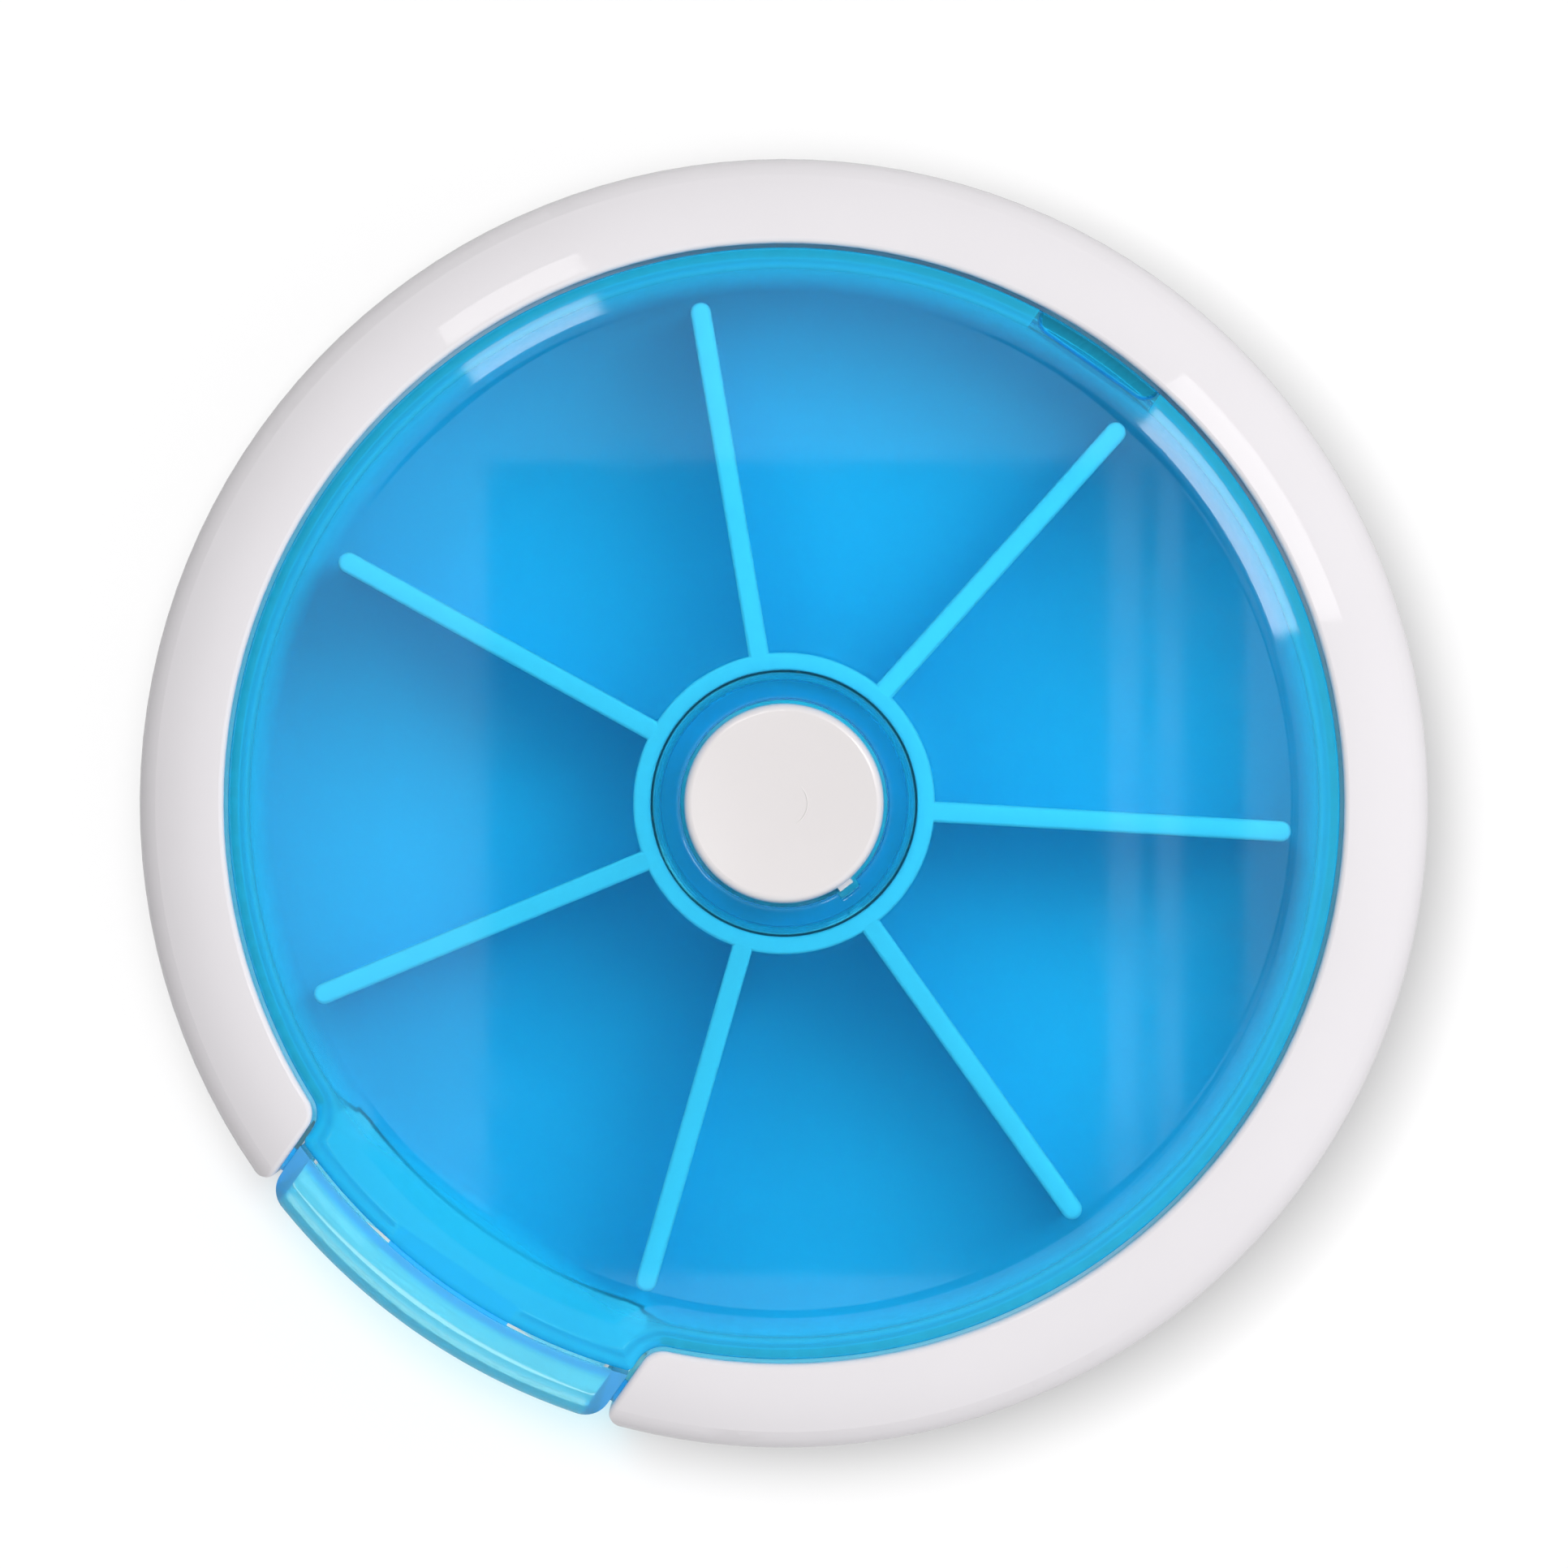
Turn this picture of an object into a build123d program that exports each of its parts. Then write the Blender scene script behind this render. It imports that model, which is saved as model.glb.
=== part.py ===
from build123d import *
import math
import os

# Weekly pill organizer, in millimetres. The origin is the centre of the foot, +Z is up, the outlet faces -Y.

# Number of compartments, and the turn of the tray at rest: the angle of its first divider from +X
compartments = 7
first_divider_angle = 83.2

# Case: outer radius, wall, height of the ring's crown, and the seam between base and upper shell
case_radius = 44.0
case_wall = 1.8
crown_height = 25.0
crown_bend = 9.0
shoulder_round = 2.4
seam_height = 5.0
seam_chamfer = 0.25

# Underside: foot ring, edge rounding and floor
foot_round = 3.0
foot_ring_width = 5.0
foot_step = 0.8
floor_thickness = 2.0

# Rim joint between the two shells
rim_lip_wall = 0.8
rim_lip_height = 1.5
rim_gap = 0.1

# Ring round the lid: its width, its lip, and the ledge under the lid's skirt
ring_width = 5.85
ring_edge_round = 0.35
flange_depth = 2.4
lip_wall = 1.2
ledge_depth = 2.6
ledge_thickness = 1.0
ledge_width = 1.2

# Notch at the outlet
notch_half_width = 13.9
notch_inner_round = 1.7
notch_outer_round = 1.0
side_wall = 1.4
sill_lip_thickness = 0.4
sill_lip_reach = 0.5
sill_lip_end_gap = 0.3
sill_to_tray = 0.2

# Chamber wall round the tray, under the ledge, open at the outlet across the notch's width
chamber_wall = 1.0
chamber_top_gap = 0.1

# Lid
lid_gap = 0.3
lid_rise = 0.4
lid_thickness = 1.6
lid_dome = 0.8
lid_dome_margin = 2.45
lid_edge_round = 2.2
lid_skirt = 0.95
collar_bore_gap = 0.25
collar_wall = 1.35
collar_depth = 5.0
nail_recess_width = 10.0
nail_recess_depth = 1.55
nail_recess_drop = 0.9
nail_recess_round = 1.3

# Flap over the outlet, with its hinge stubs and catch tongue
flap_gap = 0.3
flap_width = 3.65
flap_top_thickness = 1.2
flap_wall = 1.0
flap_cheek = 1.1
flap_corner_round = 2.0
flap_bottom = 2.2
flap_lip = 0.6
flap_lip_depth = 1.4
hinge_inset = 4.0
hinge_stub_radius = 0.9
hinge_stub_length = 1.0
hinge_fit = 0.06
hinge_end_gap = 0.3
swing_clearance = 0.3
tongue_half_width = 4.9
tongue_side_gap = 0.3
tongue_reach = 1.95
tongue_root = 0.85
tongue_drop = 1.2
tongue_thickness = 0.8

# Tray
tray_gap = 0.85
tray_floor_thickness = 1.2
divider_thickness = 1.4
divider_gap = 0.9
divider_end_inset = 1.5
hub_wall = 1.25
hub_gap = 0.63
bearing_fit = 0.08
bearing_wall = 1.3
bearing_height = 3.4

# Thrust ring and centre post on the base
thrust_inner_radius = 12.5
thrust_width = 1.5
thrust_height = 0.4
journal_radius = 5.2
journal_top = 7.0
post_radius = 3.6
post_length = 9.5
pilot_depth = 8.0

# Drive sleeve with two helical grooves
sleeve_fit = 0.06
sleeve_wall = 1.34
sleeve_end_gap = 0.1
sleeve_hub_wall = 2.24
sleeve_hub_height = 2.0
sleeve_flange_width = 1.3
sleeve_flange_thickness = 1.0
groove_radius = 0.85
groove_run_out = 0.5
button_travel = 3.5
drive_turn = 54.0

# Button
button_sink = 0.2
button_skirt_wall = 1.5
button_skirt_gap = 0.3
button_skirt_below_lugs = 0.7
button_flange_gap = 0.3
button_flange_thickness = 1.0
button_flange_side_gap = 0.25
button_cap_thickness = 1.8
button_edge_round = 0.5
button_dish = 0.25
lug_radius = 0.65
lug_count = 2
first_lug_angle = 45.0
spring_peg_gap = 0.475
spring_peg_height = 1.0
key_angle = -18.0
key_width = 1.1
key_height = 0.3
key_side_gap = 0.2
key_drop = 0.7

# Return spring under the button
spring_mean_radius = 3.3
spring_wire = 0.45
spring_turns = 5.5
spring_end_gap = 0.03

# Retaining washer and centre screw
washer_overlap = 1.2
washer_thickness = 0.6
screw_head_radius = 2.0
screw_head_height = 1.3
screw_shank_radius = 0.9
screw_shank_length = 7.0
screw_fit = 0.05
cross_length = 2.2
cross_width = 0.5
cross_depth = 0.7

# Ratchet teeth inside the hub, and the pawl ring that pushes them
tooth_depth = 1.13
tooth_span = 35.0
tooth_height = 2.2
first_tooth_angle = 20.0
pawl_ring_wall = 0.95
pawl_ring_lift = 0.3
pawl_ring_height = 1.5
pawl_ring_fit = 0.05
pawl_key_depth = 0.6
pawl_key_width = 1.2
pawl_steps = (0, 2, 4)
pawl_width = 0.6
pawl_overlap = 0.5
pawl_reach = 40.0
pawl_tip_gap = 2.6

# Index spring on the base floor, with the notches under the tray
index_radius = 24.0
index_width = 5.0
index_leaf = 0.25
index_pocket_depth = 0.9
index_pocket_length = 17.5
index_pocket_start = -13.0
index_pocket_side_gap = 0.5
index_bend_x = -6.0
index_nose_gap = 0.25
index_nose_half_width = 0.5
index_foot_half_width = 1.6
index_foot_height = 0.6
index_tail_length = 3.0
index_tail_height = 0.4
index_fixed_length = 12.5
stake_radius = 0.9
stake_head_radius = 1.5
stake_head_height = 0.5
stake_places = (-11.0, -7.5)
notch_round = 1.6
notch_depth = 0.5
notch_end_margin = 0.3

# Screws that join the shells from below
case_screw_angles = (40.0, 140.0, 205.0, 335.0)
boss_radius = 2.0
boss_wall_gap = 0.1
case_screw_shank_radius = 1.0
case_screw_fit = 0.1
case_screw_length = 8.0
case_screw_tip_gap = 0.7
case_screw_head_radius = 1.9
case_screw_head_height = 1.1
counterbore_gap = 0.2
counterbore_depth = 1.6

# Plan sizes that follow from those above
case_inner_radius = case_radius - case_wall
crown_radius = case_radius - ring_width
foot_inner_radius = case_radius - foot_round - foot_ring_width
ring_inner_radius = case_radius - ring_width
ledge_inner_radius = ring_inner_radius - ledge_width
chamber_radius = ledge_inner_radius
lid_radius = ring_inner_radius - lid_gap
flap_half_width = notch_half_width - flap_gap
flap_inner_radius = case_radius - flap_width
lid_front_radius = flap_inner_radius - flap_gap
hinge_y = -(case_radius - hinge_inset)
tongue_tip_y = -(flap_inner_radius - tongue_reach)
tongue_root_y = -(flap_inner_radius + tongue_root)
tray_radius = chamber_radius - tray_gap
divider_radius = tray_radius - divider_end_inset
sleeve_bore_radius = post_radius + sleeve_fit
sleeve_outer_radius = sleeve_bore_radius + sleeve_wall
sleeve_hub_radius = sleeve_bore_radius + sleeve_hub_wall
sleeve_flange_radius = sleeve_hub_radius + sleeve_flange_width
button_skirt_inner_radius = sleeve_outer_radius + button_skirt_gap
button_radius = button_skirt_inner_radius + button_skirt_wall
collar_bore_radius = button_radius + collar_bore_gap
collar_radius = collar_bore_radius + collar_wall
hub_inner_radius = collar_radius + hub_gap
hub_outer_radius = hub_inner_radius + hub_wall
button_flange_radius = hub_inner_radius - button_flange_side_gap
bearing_radius = journal_radius + bearing_fit
spring_peg_radius = spring_mean_radius - spring_wire / 2 - spring_peg_gap
washer_radius = post_radius + washer_overlap
pilot_radius = screw_shank_radius + screw_fit
tooth_tip_radius = hub_inner_radius - tooth_depth
pawl_tip_radius = tooth_tip_radius + pawl_overlap
case_screw_circle = case_inner_radius - boss_radius - boss_wall_gap
pitch_angle = 360.0 / compartments

# Heights that follow from those above
floor_top = foot_step + floor_thickness
hinge_z = seam_height
flange_underside = crown_height - flange_depth
ledge_top = crown_height - ledge_depth
ledge_bottom = ledge_top - ledge_thickness
chamber_top = ledge_bottom - chamber_top_gap
lid_rim_height = crown_height + lid_rise
lid_underside = lid_rim_height - lid_thickness
nail_recess_floor = lid_rim_height - nail_recess_drop
tongue_bottom = lid_underside - tongue_drop
tray_bottom = floor_top + thrust_height
tray_floor_top = tray_bottom + tray_floor_thickness
divider_top = lid_underside - divider_gap
tooth_bottom = journal_top
post_top = journal_top + post_length
sleeve_top = post_top - sleeve_end_gap
sleeve_flange_bottom = journal_top + sleeve_hub_height
sleeve_flange_top = sleeve_flange_bottom + sleeve_flange_thickness
pawl_ring_bottom = journal_top + pawl_ring_lift
lug_height = sleeve_flange_top + groove_run_out + button_travel + groove_run_out
washer_top = post_top + washer_thickness
button_top = lid_rim_height + lid_dome - button_sink
button_ceiling = button_top - button_cap_thickness
button_skirt_bottom = lug_height - button_skirt_below_lugs
collar_bottom = lid_rim_height - collar_depth
button_flange_top = collar_bottom - button_flange_gap
button_flange_bottom = button_flange_top - button_flange_thickness
notch_root_y = -math.sqrt(chamber_radius**2 - notch_half_width**2)
sill_y = hinge_y + (hinge_z - flap_bottom) + swing_clearance
sill_lip_y = hinge_y - sill_lip_reach
sill_lip_bottom = tray_floor_top - sill_lip_thickness
index_nose_height = index_pocket_depth + thrust_height + notch_depth - index_nose_gap - index_leaf
below_everything = -2.0
above_everything = 2 * crown_height


def at_angle(radius, angle):
    """A point in plan at a radius and an angle in degrees."""
    return (radius * math.cos(math.radians(angle)), radius * math.sin(math.radians(angle)))


def turned(shape, angle):
    """The shape turned about the vertical axis."""
    return shape.rotate(Axis.Z, angle)


def ring_of(inner, outer, low, high):
    """A plain ring between two radii and two heights."""
    height = high - low
    return Pos(0, 0, low) * (extrude(Circle(outer) - Circle(inner), height))


def disc(radius, low, high):
    """A round solid about the vertical axis."""
    return Pos(0, 0, low) * extrude(Circle(radius), high - low)


def block(x_low, x_high, y_low, y_high, z_low, z_high):
    """A box between six planes."""
    size = Box(x_high - x_low, y_high - y_low, z_high - z_low, align=(Align.MIN, Align.MIN, Align.MIN))
    return Pos(x_low, y_low, z_low) * size


def spun(lines):
    """The solid swept by a closed outline of radius and height about the vertical axis."""
    return revolve(Plane.XZ * make_face(lines), Axis.Z)


def crown_height_at(radius):
    """Height of the ring's crown at a radius inside the shoulder."""
    return crown_height - crown_bend + math.sqrt(crown_bend**2 - (radius - crown_radius) ** 2)


def shoulder_centre():
    """Centre of the ring's outer shoulder, which meets the crown and the wall tangentially."""
    radius = case_radius - shoulder_round
    rise = math.sqrt((crown_bend - shoulder_round) ** 2 - (radius - crown_radius) ** 2)
    return (radius, crown_height - crown_bend + rise)


def crown_lines(inner_radius):
    """The ring's top from its inner radius over the crown and round the shoulder to the wall."""
    shoulder = shoulder_centre()
    reach = crown_bend / (crown_bend - shoulder_round)
    crown_centre_height = crown_height - crown_bend
    meet = (
        crown_radius + (shoulder[0] - crown_radius) * reach,
        crown_centre_height + (shoulder[1] - crown_centre_height) * reach,
    )
    start = (inner_radius, crown_height_at(inner_radius))
    middle_radius = (inner_radius + meet[0]) / 2
    middle = (middle_radius, crown_height_at(middle_radius))
    lean = math.radians(45)
    turn = (shoulder[0] + shoulder_round * math.cos(lean), shoulder[1] + shoulder_round * math.sin(lean))
    end = (case_radius, shoulder[1])
    crown = ThreePointArc(start, middle, meet)
    shoulder_arc = ThreePointArc(meet, turn, end)
    return start, end, [crown, shoulder_arc]


def opening_face(shrink):
    """Plan of the ring's opening with the notch, drawn in by a distance all round."""
    radius = ring_inner_radius - shrink
    half_width = notch_half_width - shrink
    rounding = notch_inner_round + shrink
    notch = Pos(0, -case_radius / 2) * Rectangle(2 * half_width, case_radius)
    plan = Circle(radius) + Pos(0, -case_radius * 3 / 4) * Rectangle(2 * half_width, case_radius / 2) + notch
    corner_y = -math.sqrt(radius**2 - half_width**2)
    corners = [v for v in plan.vertices() if abs(v.Y - corner_y) < 0.01]
    return fillet(corners, rounding)


def corner_cutter(edge_x, rounding, material_side):
    """Prism that rounds the vertical corner where a plane at edge_x meets the case's outer wall.

    material_side is +1 where the material lies beyond the plane and -1 where it lies inside it."""
    centre_x = edge_x + material_side * rounding
    centre_distance = case_radius - rounding
    centre_y = -math.sqrt(centre_distance**2 - centre_x**2)
    on_plane = (edge_x, centre_y)
    stretch = case_radius / centre_distance
    on_wall = (centre_x * stretch, centre_y * stretch)
    lean_x = (on_plane[0] + on_wall[0]) / 2 - centre_x
    lean_y = (on_plane[1] + on_wall[1]) / 2 - centre_y
    lean = math.hypot(lean_x, lean_y)
    middle = (centre_x + rounding * lean_x / lean, centre_y + rounding * lean_y / lean)
    aside = edge_x - material_side
    beyond = 1 + 2 / case_radius
    outer_corner = (on_wall[0] * beyond, on_wall[1] * beyond)
    outline = Polyline(on_plane, (aside, centre_y), (aside, -case_radius * beyond), outer_corner, on_wall)
    face = make_face([outline, ThreePointArc(on_wall, middle, on_plane)])
    return Pos(0, 0, below_everything) * extrude(face, above_everything)


def both_sides(shape):
    """The shape and its mirror image across the outlet's middle plane."""
    return [shape, mirror(shape, Plane.YZ)]


def notch_cut(inner_y):
    """Everything that leaves the shells at the notch, from inner_y outwards."""
    slot = block(
        -notch_half_width, notch_half_width, -2 * case_radius, inner_y, below_everything, above_everything
    )
    return [slot] + both_sides(corner_cutter(notch_half_width, notch_outer_round, 1))


def hinge_bore():
    """Bore for the flap's stubs, half in each shell, because its axis lies in the seam."""
    reach = flap_half_width + hinge_stub_length + hinge_end_gap
    return Pos(0, hinge_y, hinge_z) * Rot(0, 90, 0) * Cylinder(hinge_stub_radius + hinge_fit, 2 * reach)


def notch_side_wall(low, high):
    """One upright wall beside the notch between two heights, from the chamber wall to the outer wall."""
    near = notch_half_width - side_wall
    far = notch_half_width + side_wall
    wall = block(near, far, -case_radius, -chamber_radius / 2, low, high)
    wall = wall & disc(case_radius - case_wall / 2, 0, above_everything)
    return wall - disc(chamber_radius + chamber_wall / 2, 0, above_everything)


def case_screw_spots():
    """Places of the case screws in plan."""
    return [at_angle(case_screw_circle, angle) for angle in case_screw_angles]


def stake_spots():
    """Places of the index spring's stakes in plan."""
    return [(x, index_radius) for x in stake_places]


def base_shell():
    """Lower shell: floor, foot ring, rim, chamber wall, thrust ring and centre post in one moulding."""
    rim_top = seam_height + rim_lip_height
    lip_outer = case_inner_radius + rim_lip_wall
    post_bottom_of_pilot = post_top - pilot_depth
    lean = math.radians(-45)
    foot_edge = case_radius - foot_round
    below = Polyline((0, foot_step), (foot_inner_radius, foot_step), (foot_inner_radius, 0), (foot_edge, 0))
    turn = (foot_edge + foot_round * math.cos(lean), foot_round + foot_round * math.sin(lean))
    edge = ThreePointArc((foot_edge, 0), turn, (case_radius, foot_round))
    inside = Polyline(
        (case_radius, foot_round),
        (case_radius, seam_height - seam_chamfer),
        (case_radius - seam_chamfer, seam_height),
        (lip_outer, seam_height),
        (lip_outer, rim_top),
        (case_inner_radius, rim_top),
        (case_inner_radius, floor_top),
        (chamber_radius + chamber_wall, floor_top),
        (chamber_radius + chamber_wall, chamber_top),
        (chamber_radius, chamber_top),
        (chamber_radius, floor_top),
        (thrust_inner_radius + thrust_width, floor_top),
        (thrust_inner_radius + thrust_width, tray_bottom),
        (thrust_inner_radius, tray_bottom),
        (thrust_inner_radius, floor_top),
        (journal_radius, floor_top),
        (journal_radius, journal_top),
        (post_radius, journal_top),
        (post_radius, post_top),
        (pilot_radius, post_top),
        (pilot_radius, post_bottom_of_pilot),
        (0, post_bottom_of_pilot),
        (0, foot_step),
    )
    shell = spun([below, edge, inside])
    window = block(
        -notch_half_width, notch_half_width, -case_radius, -thrust_inner_radius, floor_top, above_everything
    )
    window = window - disc((chamber_radius + tray_radius) / 2, below_everything, above_everything)
    shell = shell + both_sides(notch_side_wall(floor_top - floor_thickness / 2, seam_height))
    rim_break = block(
        -notch_half_width - side_wall - rim_gap,
        notch_half_width + side_wall + rim_gap,
        -case_radius,
        -chamber_radius / 2,
        seam_height,
        above_everything,
    )
    rim_break = rim_break - disc(chamber_radius + chamber_wall, 0, above_everything)
    shell = shell - notch_cut(sill_y) - window - rim_break - hinge_bore()
    sill_half = flap_half_width - flap_cheek - sill_lip_end_gap
    sill_top = tray_floor_top
    sill = block(-sill_half, sill_half, sill_y, -chamber_radius / 2, floor_top - floor_thickness / 2, sill_top)
    sill = sill + block(-sill_half, sill_half, sill_lip_y, -chamber_radius / 2, sill_lip_bottom, sill_top)
    shell = shell + (sill - disc(tray_radius + sill_to_tray, 0, above_everything))
    for x, y in case_screw_spots():
        hole_radius = case_screw_shank_radius + case_screw_fit
        recess_radius = case_screw_head_radius + counterbore_gap
        shell = shell - Pos(x, y, 0) * disc(hole_radius, below_everything, floor_top)
        shell = shell - Pos(x, y, 0) * disc(recess_radius, below_everything, counterbore_depth)
    pocket_half = index_width / 2 + index_pocket_side_gap
    pocket_floor = floor_top - index_pocket_depth
    shell = shell - block(
        index_pocket_start,
        index_pocket_start + index_pocket_length,
        index_radius - pocket_half,
        index_radius + pocket_half,
        pocket_floor,
        floor_top,
    )
    leaf_top = pocket_floor + index_leaf
    for x, y in stake_spots():
        stake = disc(stake_radius, pocket_floor, leaf_top) + disc(
            stake_head_radius, leaf_top, leaf_top + stake_head_height
        )
        shell = shell + Pos(x, y, 0) * stake
    return shell


def case_shell():
    """Upper shell: crowned ring, outer wall, lip and ledge for the lid, notch side walls and bosses."""
    start, end, top = crown_lines(ledge_inner_radius)
    rebate_radius = case_inner_radius + rim_lip_wall + rim_gap
    rebate_top = seam_height + rim_lip_height + rim_gap
    lip_outer = ring_inner_radius + lip_wall
    inside = Polyline(
        end,
        (case_radius, seam_height),
        (rebate_radius, seam_height),
        (rebate_radius, rebate_top),
        (case_inner_radius, rebate_top),
        (case_inner_radius, flange_underside),
        (lip_outer, flange_underside),
        (lip_outer, ledge_bottom),
        (ledge_inner_radius, ledge_bottom),
        start,
    )
    shell = spun(top + [inside])
    side = notch_side_wall(seam_height, flange_underside + side_wall / 2)
    side = side - disc(chamber_radius + chamber_wall + rim_gap, 0, above_everything)
    shell = shell + both_sides(side)
    for x, y in case_screw_spots():
        boss = disc(boss_radius, floor_top, flange_underside + boss_radius / 4)
        pilot_top = counterbore_depth + case_screw_length + case_screw_tip_gap
        pilot = disc(case_screw_shank_radius + case_screw_fit, floor_top, pilot_top)
        shell = shell + Pos(x, y, 0) * (boss - pilot)
    opening = Pos(0, 0, ledge_top) * extrude(opening_face(0), above_everything - ledge_top)
    shell = shell - opening
    crown_edges = shell.edges().filter_by(lambda e: e.bounding_box().min.Z > flange_underside)
    near_lid = crown_edges.filter_by(
        lambda e: math.hypot((e @ 0.5).X, (e @ 0.5).Y) < ring_inner_radius + notch_inner_round
    )
    shell = fillet(near_lid, ring_edge_round)
    return shell - notch_cut(notch_root_y) - hinge_bore()


def dome_cap(base_height):
    """A shallow dome that stands on a flat disc at base_height."""
    radius = lid_radius - lid_dome_margin
    skin = lid_thickness / 4
    bend = (radius**2 + lid_dome**2) / (2 * lid_dome)
    half = radius / 2
    half_height = base_height + lid_dome - bend + math.sqrt(bend**2 - half**2)
    top = ThreePointArc((radius, base_height), (half, half_height), (0, base_height + lid_dome))
    flat = base_height - skin
    under = Polyline((0, base_height + lid_dome), (0, flat), (radius, flat), (radius, base_height))
    return spun([top, under])


def lid():
    """Clear cover: domed top with a rounded shoulder, skirt, front flare, nail recess and collar tube."""
    plan = opening_face(lid_gap) & Circle(lid_front_radius)
    body = Pos(0, 0, ledge_top) * extrude(plan, lid_rim_height - ledge_top)
    body = fillet(body.faces().sort_by(Axis.Z)[-1].outer_wire().edges(), lid_edge_round)
    inner_plan = opening_face(lid_gap + lid_skirt) & Circle(lid_front_radius - lid_skirt)
    hollow = Pos(0, 0, ledge_top) * extrude(inner_plan, lid_underside - ledge_top)
    body = body + dome_cap(lid_rim_height)
    body = body - hollow - dome_cap(lid_underside)
    collar_top = lid_rim_height
    body = body + disc(collar_radius, collar_bottom, collar_top)
    body = body - disc(collar_bore_radius, below_everything, above_everything)
    groove_depth = key_height + key_side_gap
    groove_half = key_width / 2 + key_side_gap
    groove = block(
        button_radius,
        collar_bore_radius + groove_depth,
        -groove_half,
        groove_half,
        below_everything,
        above_everything,
    )
    slot_half = tongue_half_width + tongue_side_gap
    slot = block(-slot_half, slot_half, -case_radius, -chamber_radius, below_everything, lid_underside)
    recess_y = lid_radius - nail_recess_depth
    recess_plan = Pos(0, recess_y + lid_edge_round * 2) * RectangleRounded(
        nail_recess_width, lid_edge_round * 4, nail_recess_round
    )
    recess = Pos(0, 0, nail_recess_floor) * extrude(recess_plan, above_everything)
    return body - turned(groove, key_angle) - slot - recess


def flap():
    """Clear outlet cover: crowned top, outer wall, end cheeks, inner lip, catch tongue and hinge stubs."""
    start, end, top = crown_lines(flap_inner_radius)
    foot_edge = case_radius - foot_round
    bottom_radius = foot_edge + math.sqrt(foot_round**2 - (foot_round - flap_bottom) ** 2)
    half_way = math.radians(-12)
    turn = (foot_edge + foot_round * math.cos(half_way), foot_round + foot_round * math.sin(half_way))
    wall = Line(end, (case_radius, foot_round))
    lower_edge = ThreePointArc((case_radius, foot_round), turn, (bottom_radius, flap_bottom))
    inner = Polyline((bottom_radius, flap_bottom), (flap_inner_radius, flap_bottom), start)
    body = spun(top + [wall, lower_edge, inner])
    body = body & block(
        -flap_half_width, flap_half_width, -2 * case_radius, 0, below_everything, above_everything
    )
    body = body - both_sides(corner_cutter(flap_half_width, flap_corner_round, -1))
    shoulder = shoulder_centre()
    inner_round = shoulder_round - flap_wall
    lip_inner = flap_inner_radius + flap_lip
    ceiling = shoulder[1] + inner_round
    lip_bottom = crown_height - flap_top_thickness - flap_lip_depth
    lean = math.radians(45)
    hollow_turn = (shoulder[0] + inner_round * math.cos(lean), shoulder[1] + inner_round * math.sin(lean))
    hollow_arc = ThreePointArc(
        (shoulder[0] + inner_round, shoulder[1]), hollow_turn, (shoulder[0], shoulder[1] + inner_round)
    )
    hollow_lines = Polyline(
        (shoulder[0], ceiling),
        (lip_inner, ceiling),
        (lip_inner, lip_bottom),
        (ring_inner_radius, lip_bottom),
        (ring_inner_radius, below_everything),
        (case_radius - flap_wall, below_everything),
        (shoulder[0] + inner_round, shoulder[1]),
    )
    hollow = spun([hollow_arc, hollow_lines])
    hollow = hollow & block(
        -flap_half_width + flap_cheek,
        flap_half_width - flap_cheek,
        -2 * case_radius,
        0,
        below_everything,
        above_everything,
    )
    body = body - hollow
    tongue = block(
        -tongue_half_width,
        tongue_half_width,
        tongue_root_y,
        tongue_tip_y,
        tongue_bottom,
        tongue_bottom + tongue_thickness,
    )
    stub = Pos(flap_half_width - flap_cheek / 2, hinge_y, hinge_z) * Rot(0, 90, 0) * Cylinder(
        hinge_stub_radius, hinge_stub_length + flap_cheek / 2, align=(Align.CENTER, Align.CENTER, Align.MIN)
    )
    return body + tongue + both_sides(stub)


def tray():
    """Wheel of compartments: floor, dividers, hub ring, bearing sleeve, ratchet teeth and index notches."""
    wheel = ring_of(bearing_radius, tray_radius, tray_bottom, tray_floor_top)
    wheel = wheel + ring_of(hub_inner_radius, hub_outer_radius, tray_bottom, divider_top)
    bearing_top = tray_bottom + bearing_height
    wheel = wheel + ring_of(bearing_radius, bearing_radius + bearing_wall, tray_bottom, bearing_top)
    run = divider_radius - divider_thickness / 2 - (hub_inner_radius + hub_wall / 2)
    inner = hub_inner_radius + hub_wall / 2
    divider_plan = Pos(inner + run / 2, 0) * Rectangle(run, divider_thickness)
    divider_plan = divider_plan + Pos(inner + run, 0) * Circle(divider_thickness / 2)
    divider = Pos(0, 0, tray_floor_top - tray_floor_thickness / 2) * extrude(
        divider_plan, divider_top - tray_floor_top + tray_floor_thickness / 2
    )
    notch_axis_height = tray_bottom + notch_depth - notch_round
    notch_length = index_width + 2 * notch_end_margin
    notch = Pos(0, index_radius, notch_axis_height) * Rot(90, 0, 0) * Cylinder(notch_round, notch_length)
    tip = at_angle(tooth_tip_radius, 0)
    root = at_angle(hub_inner_radius + hub_wall / 2, 0)
    far_root = at_angle(hub_inner_radius + hub_wall / 2, tooth_span)
    far_foot = at_angle(hub_inner_radius + hub_wall / 4, tooth_span)
    middle_root = at_angle(hub_inner_radius + hub_wall / 2, tooth_span / 2)
    middle_ramp = at_angle((tooth_tip_radius + hub_inner_radius) / 2, tooth_span / 2)
    tooth_face = make_face(
        [
            Line(tip, root),
            ThreePointArc(root, middle_root, far_root),
            Line(far_root, far_foot),
            ThreePointArc(far_foot, middle_ramp, tip),
        ]
    )
    tooth = Pos(0, 0, tooth_bottom) * extrude(tooth_face, tooth_height)
    for k in range(compartments):
        wheel = wheel + turned(divider, first_divider_angle + k * pitch_angle)
        wheel = wheel + turned(tooth, first_tooth_angle + k * pitch_angle)
        wheel = wheel - turned(notch, k * pitch_angle)
    return wheel


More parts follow.
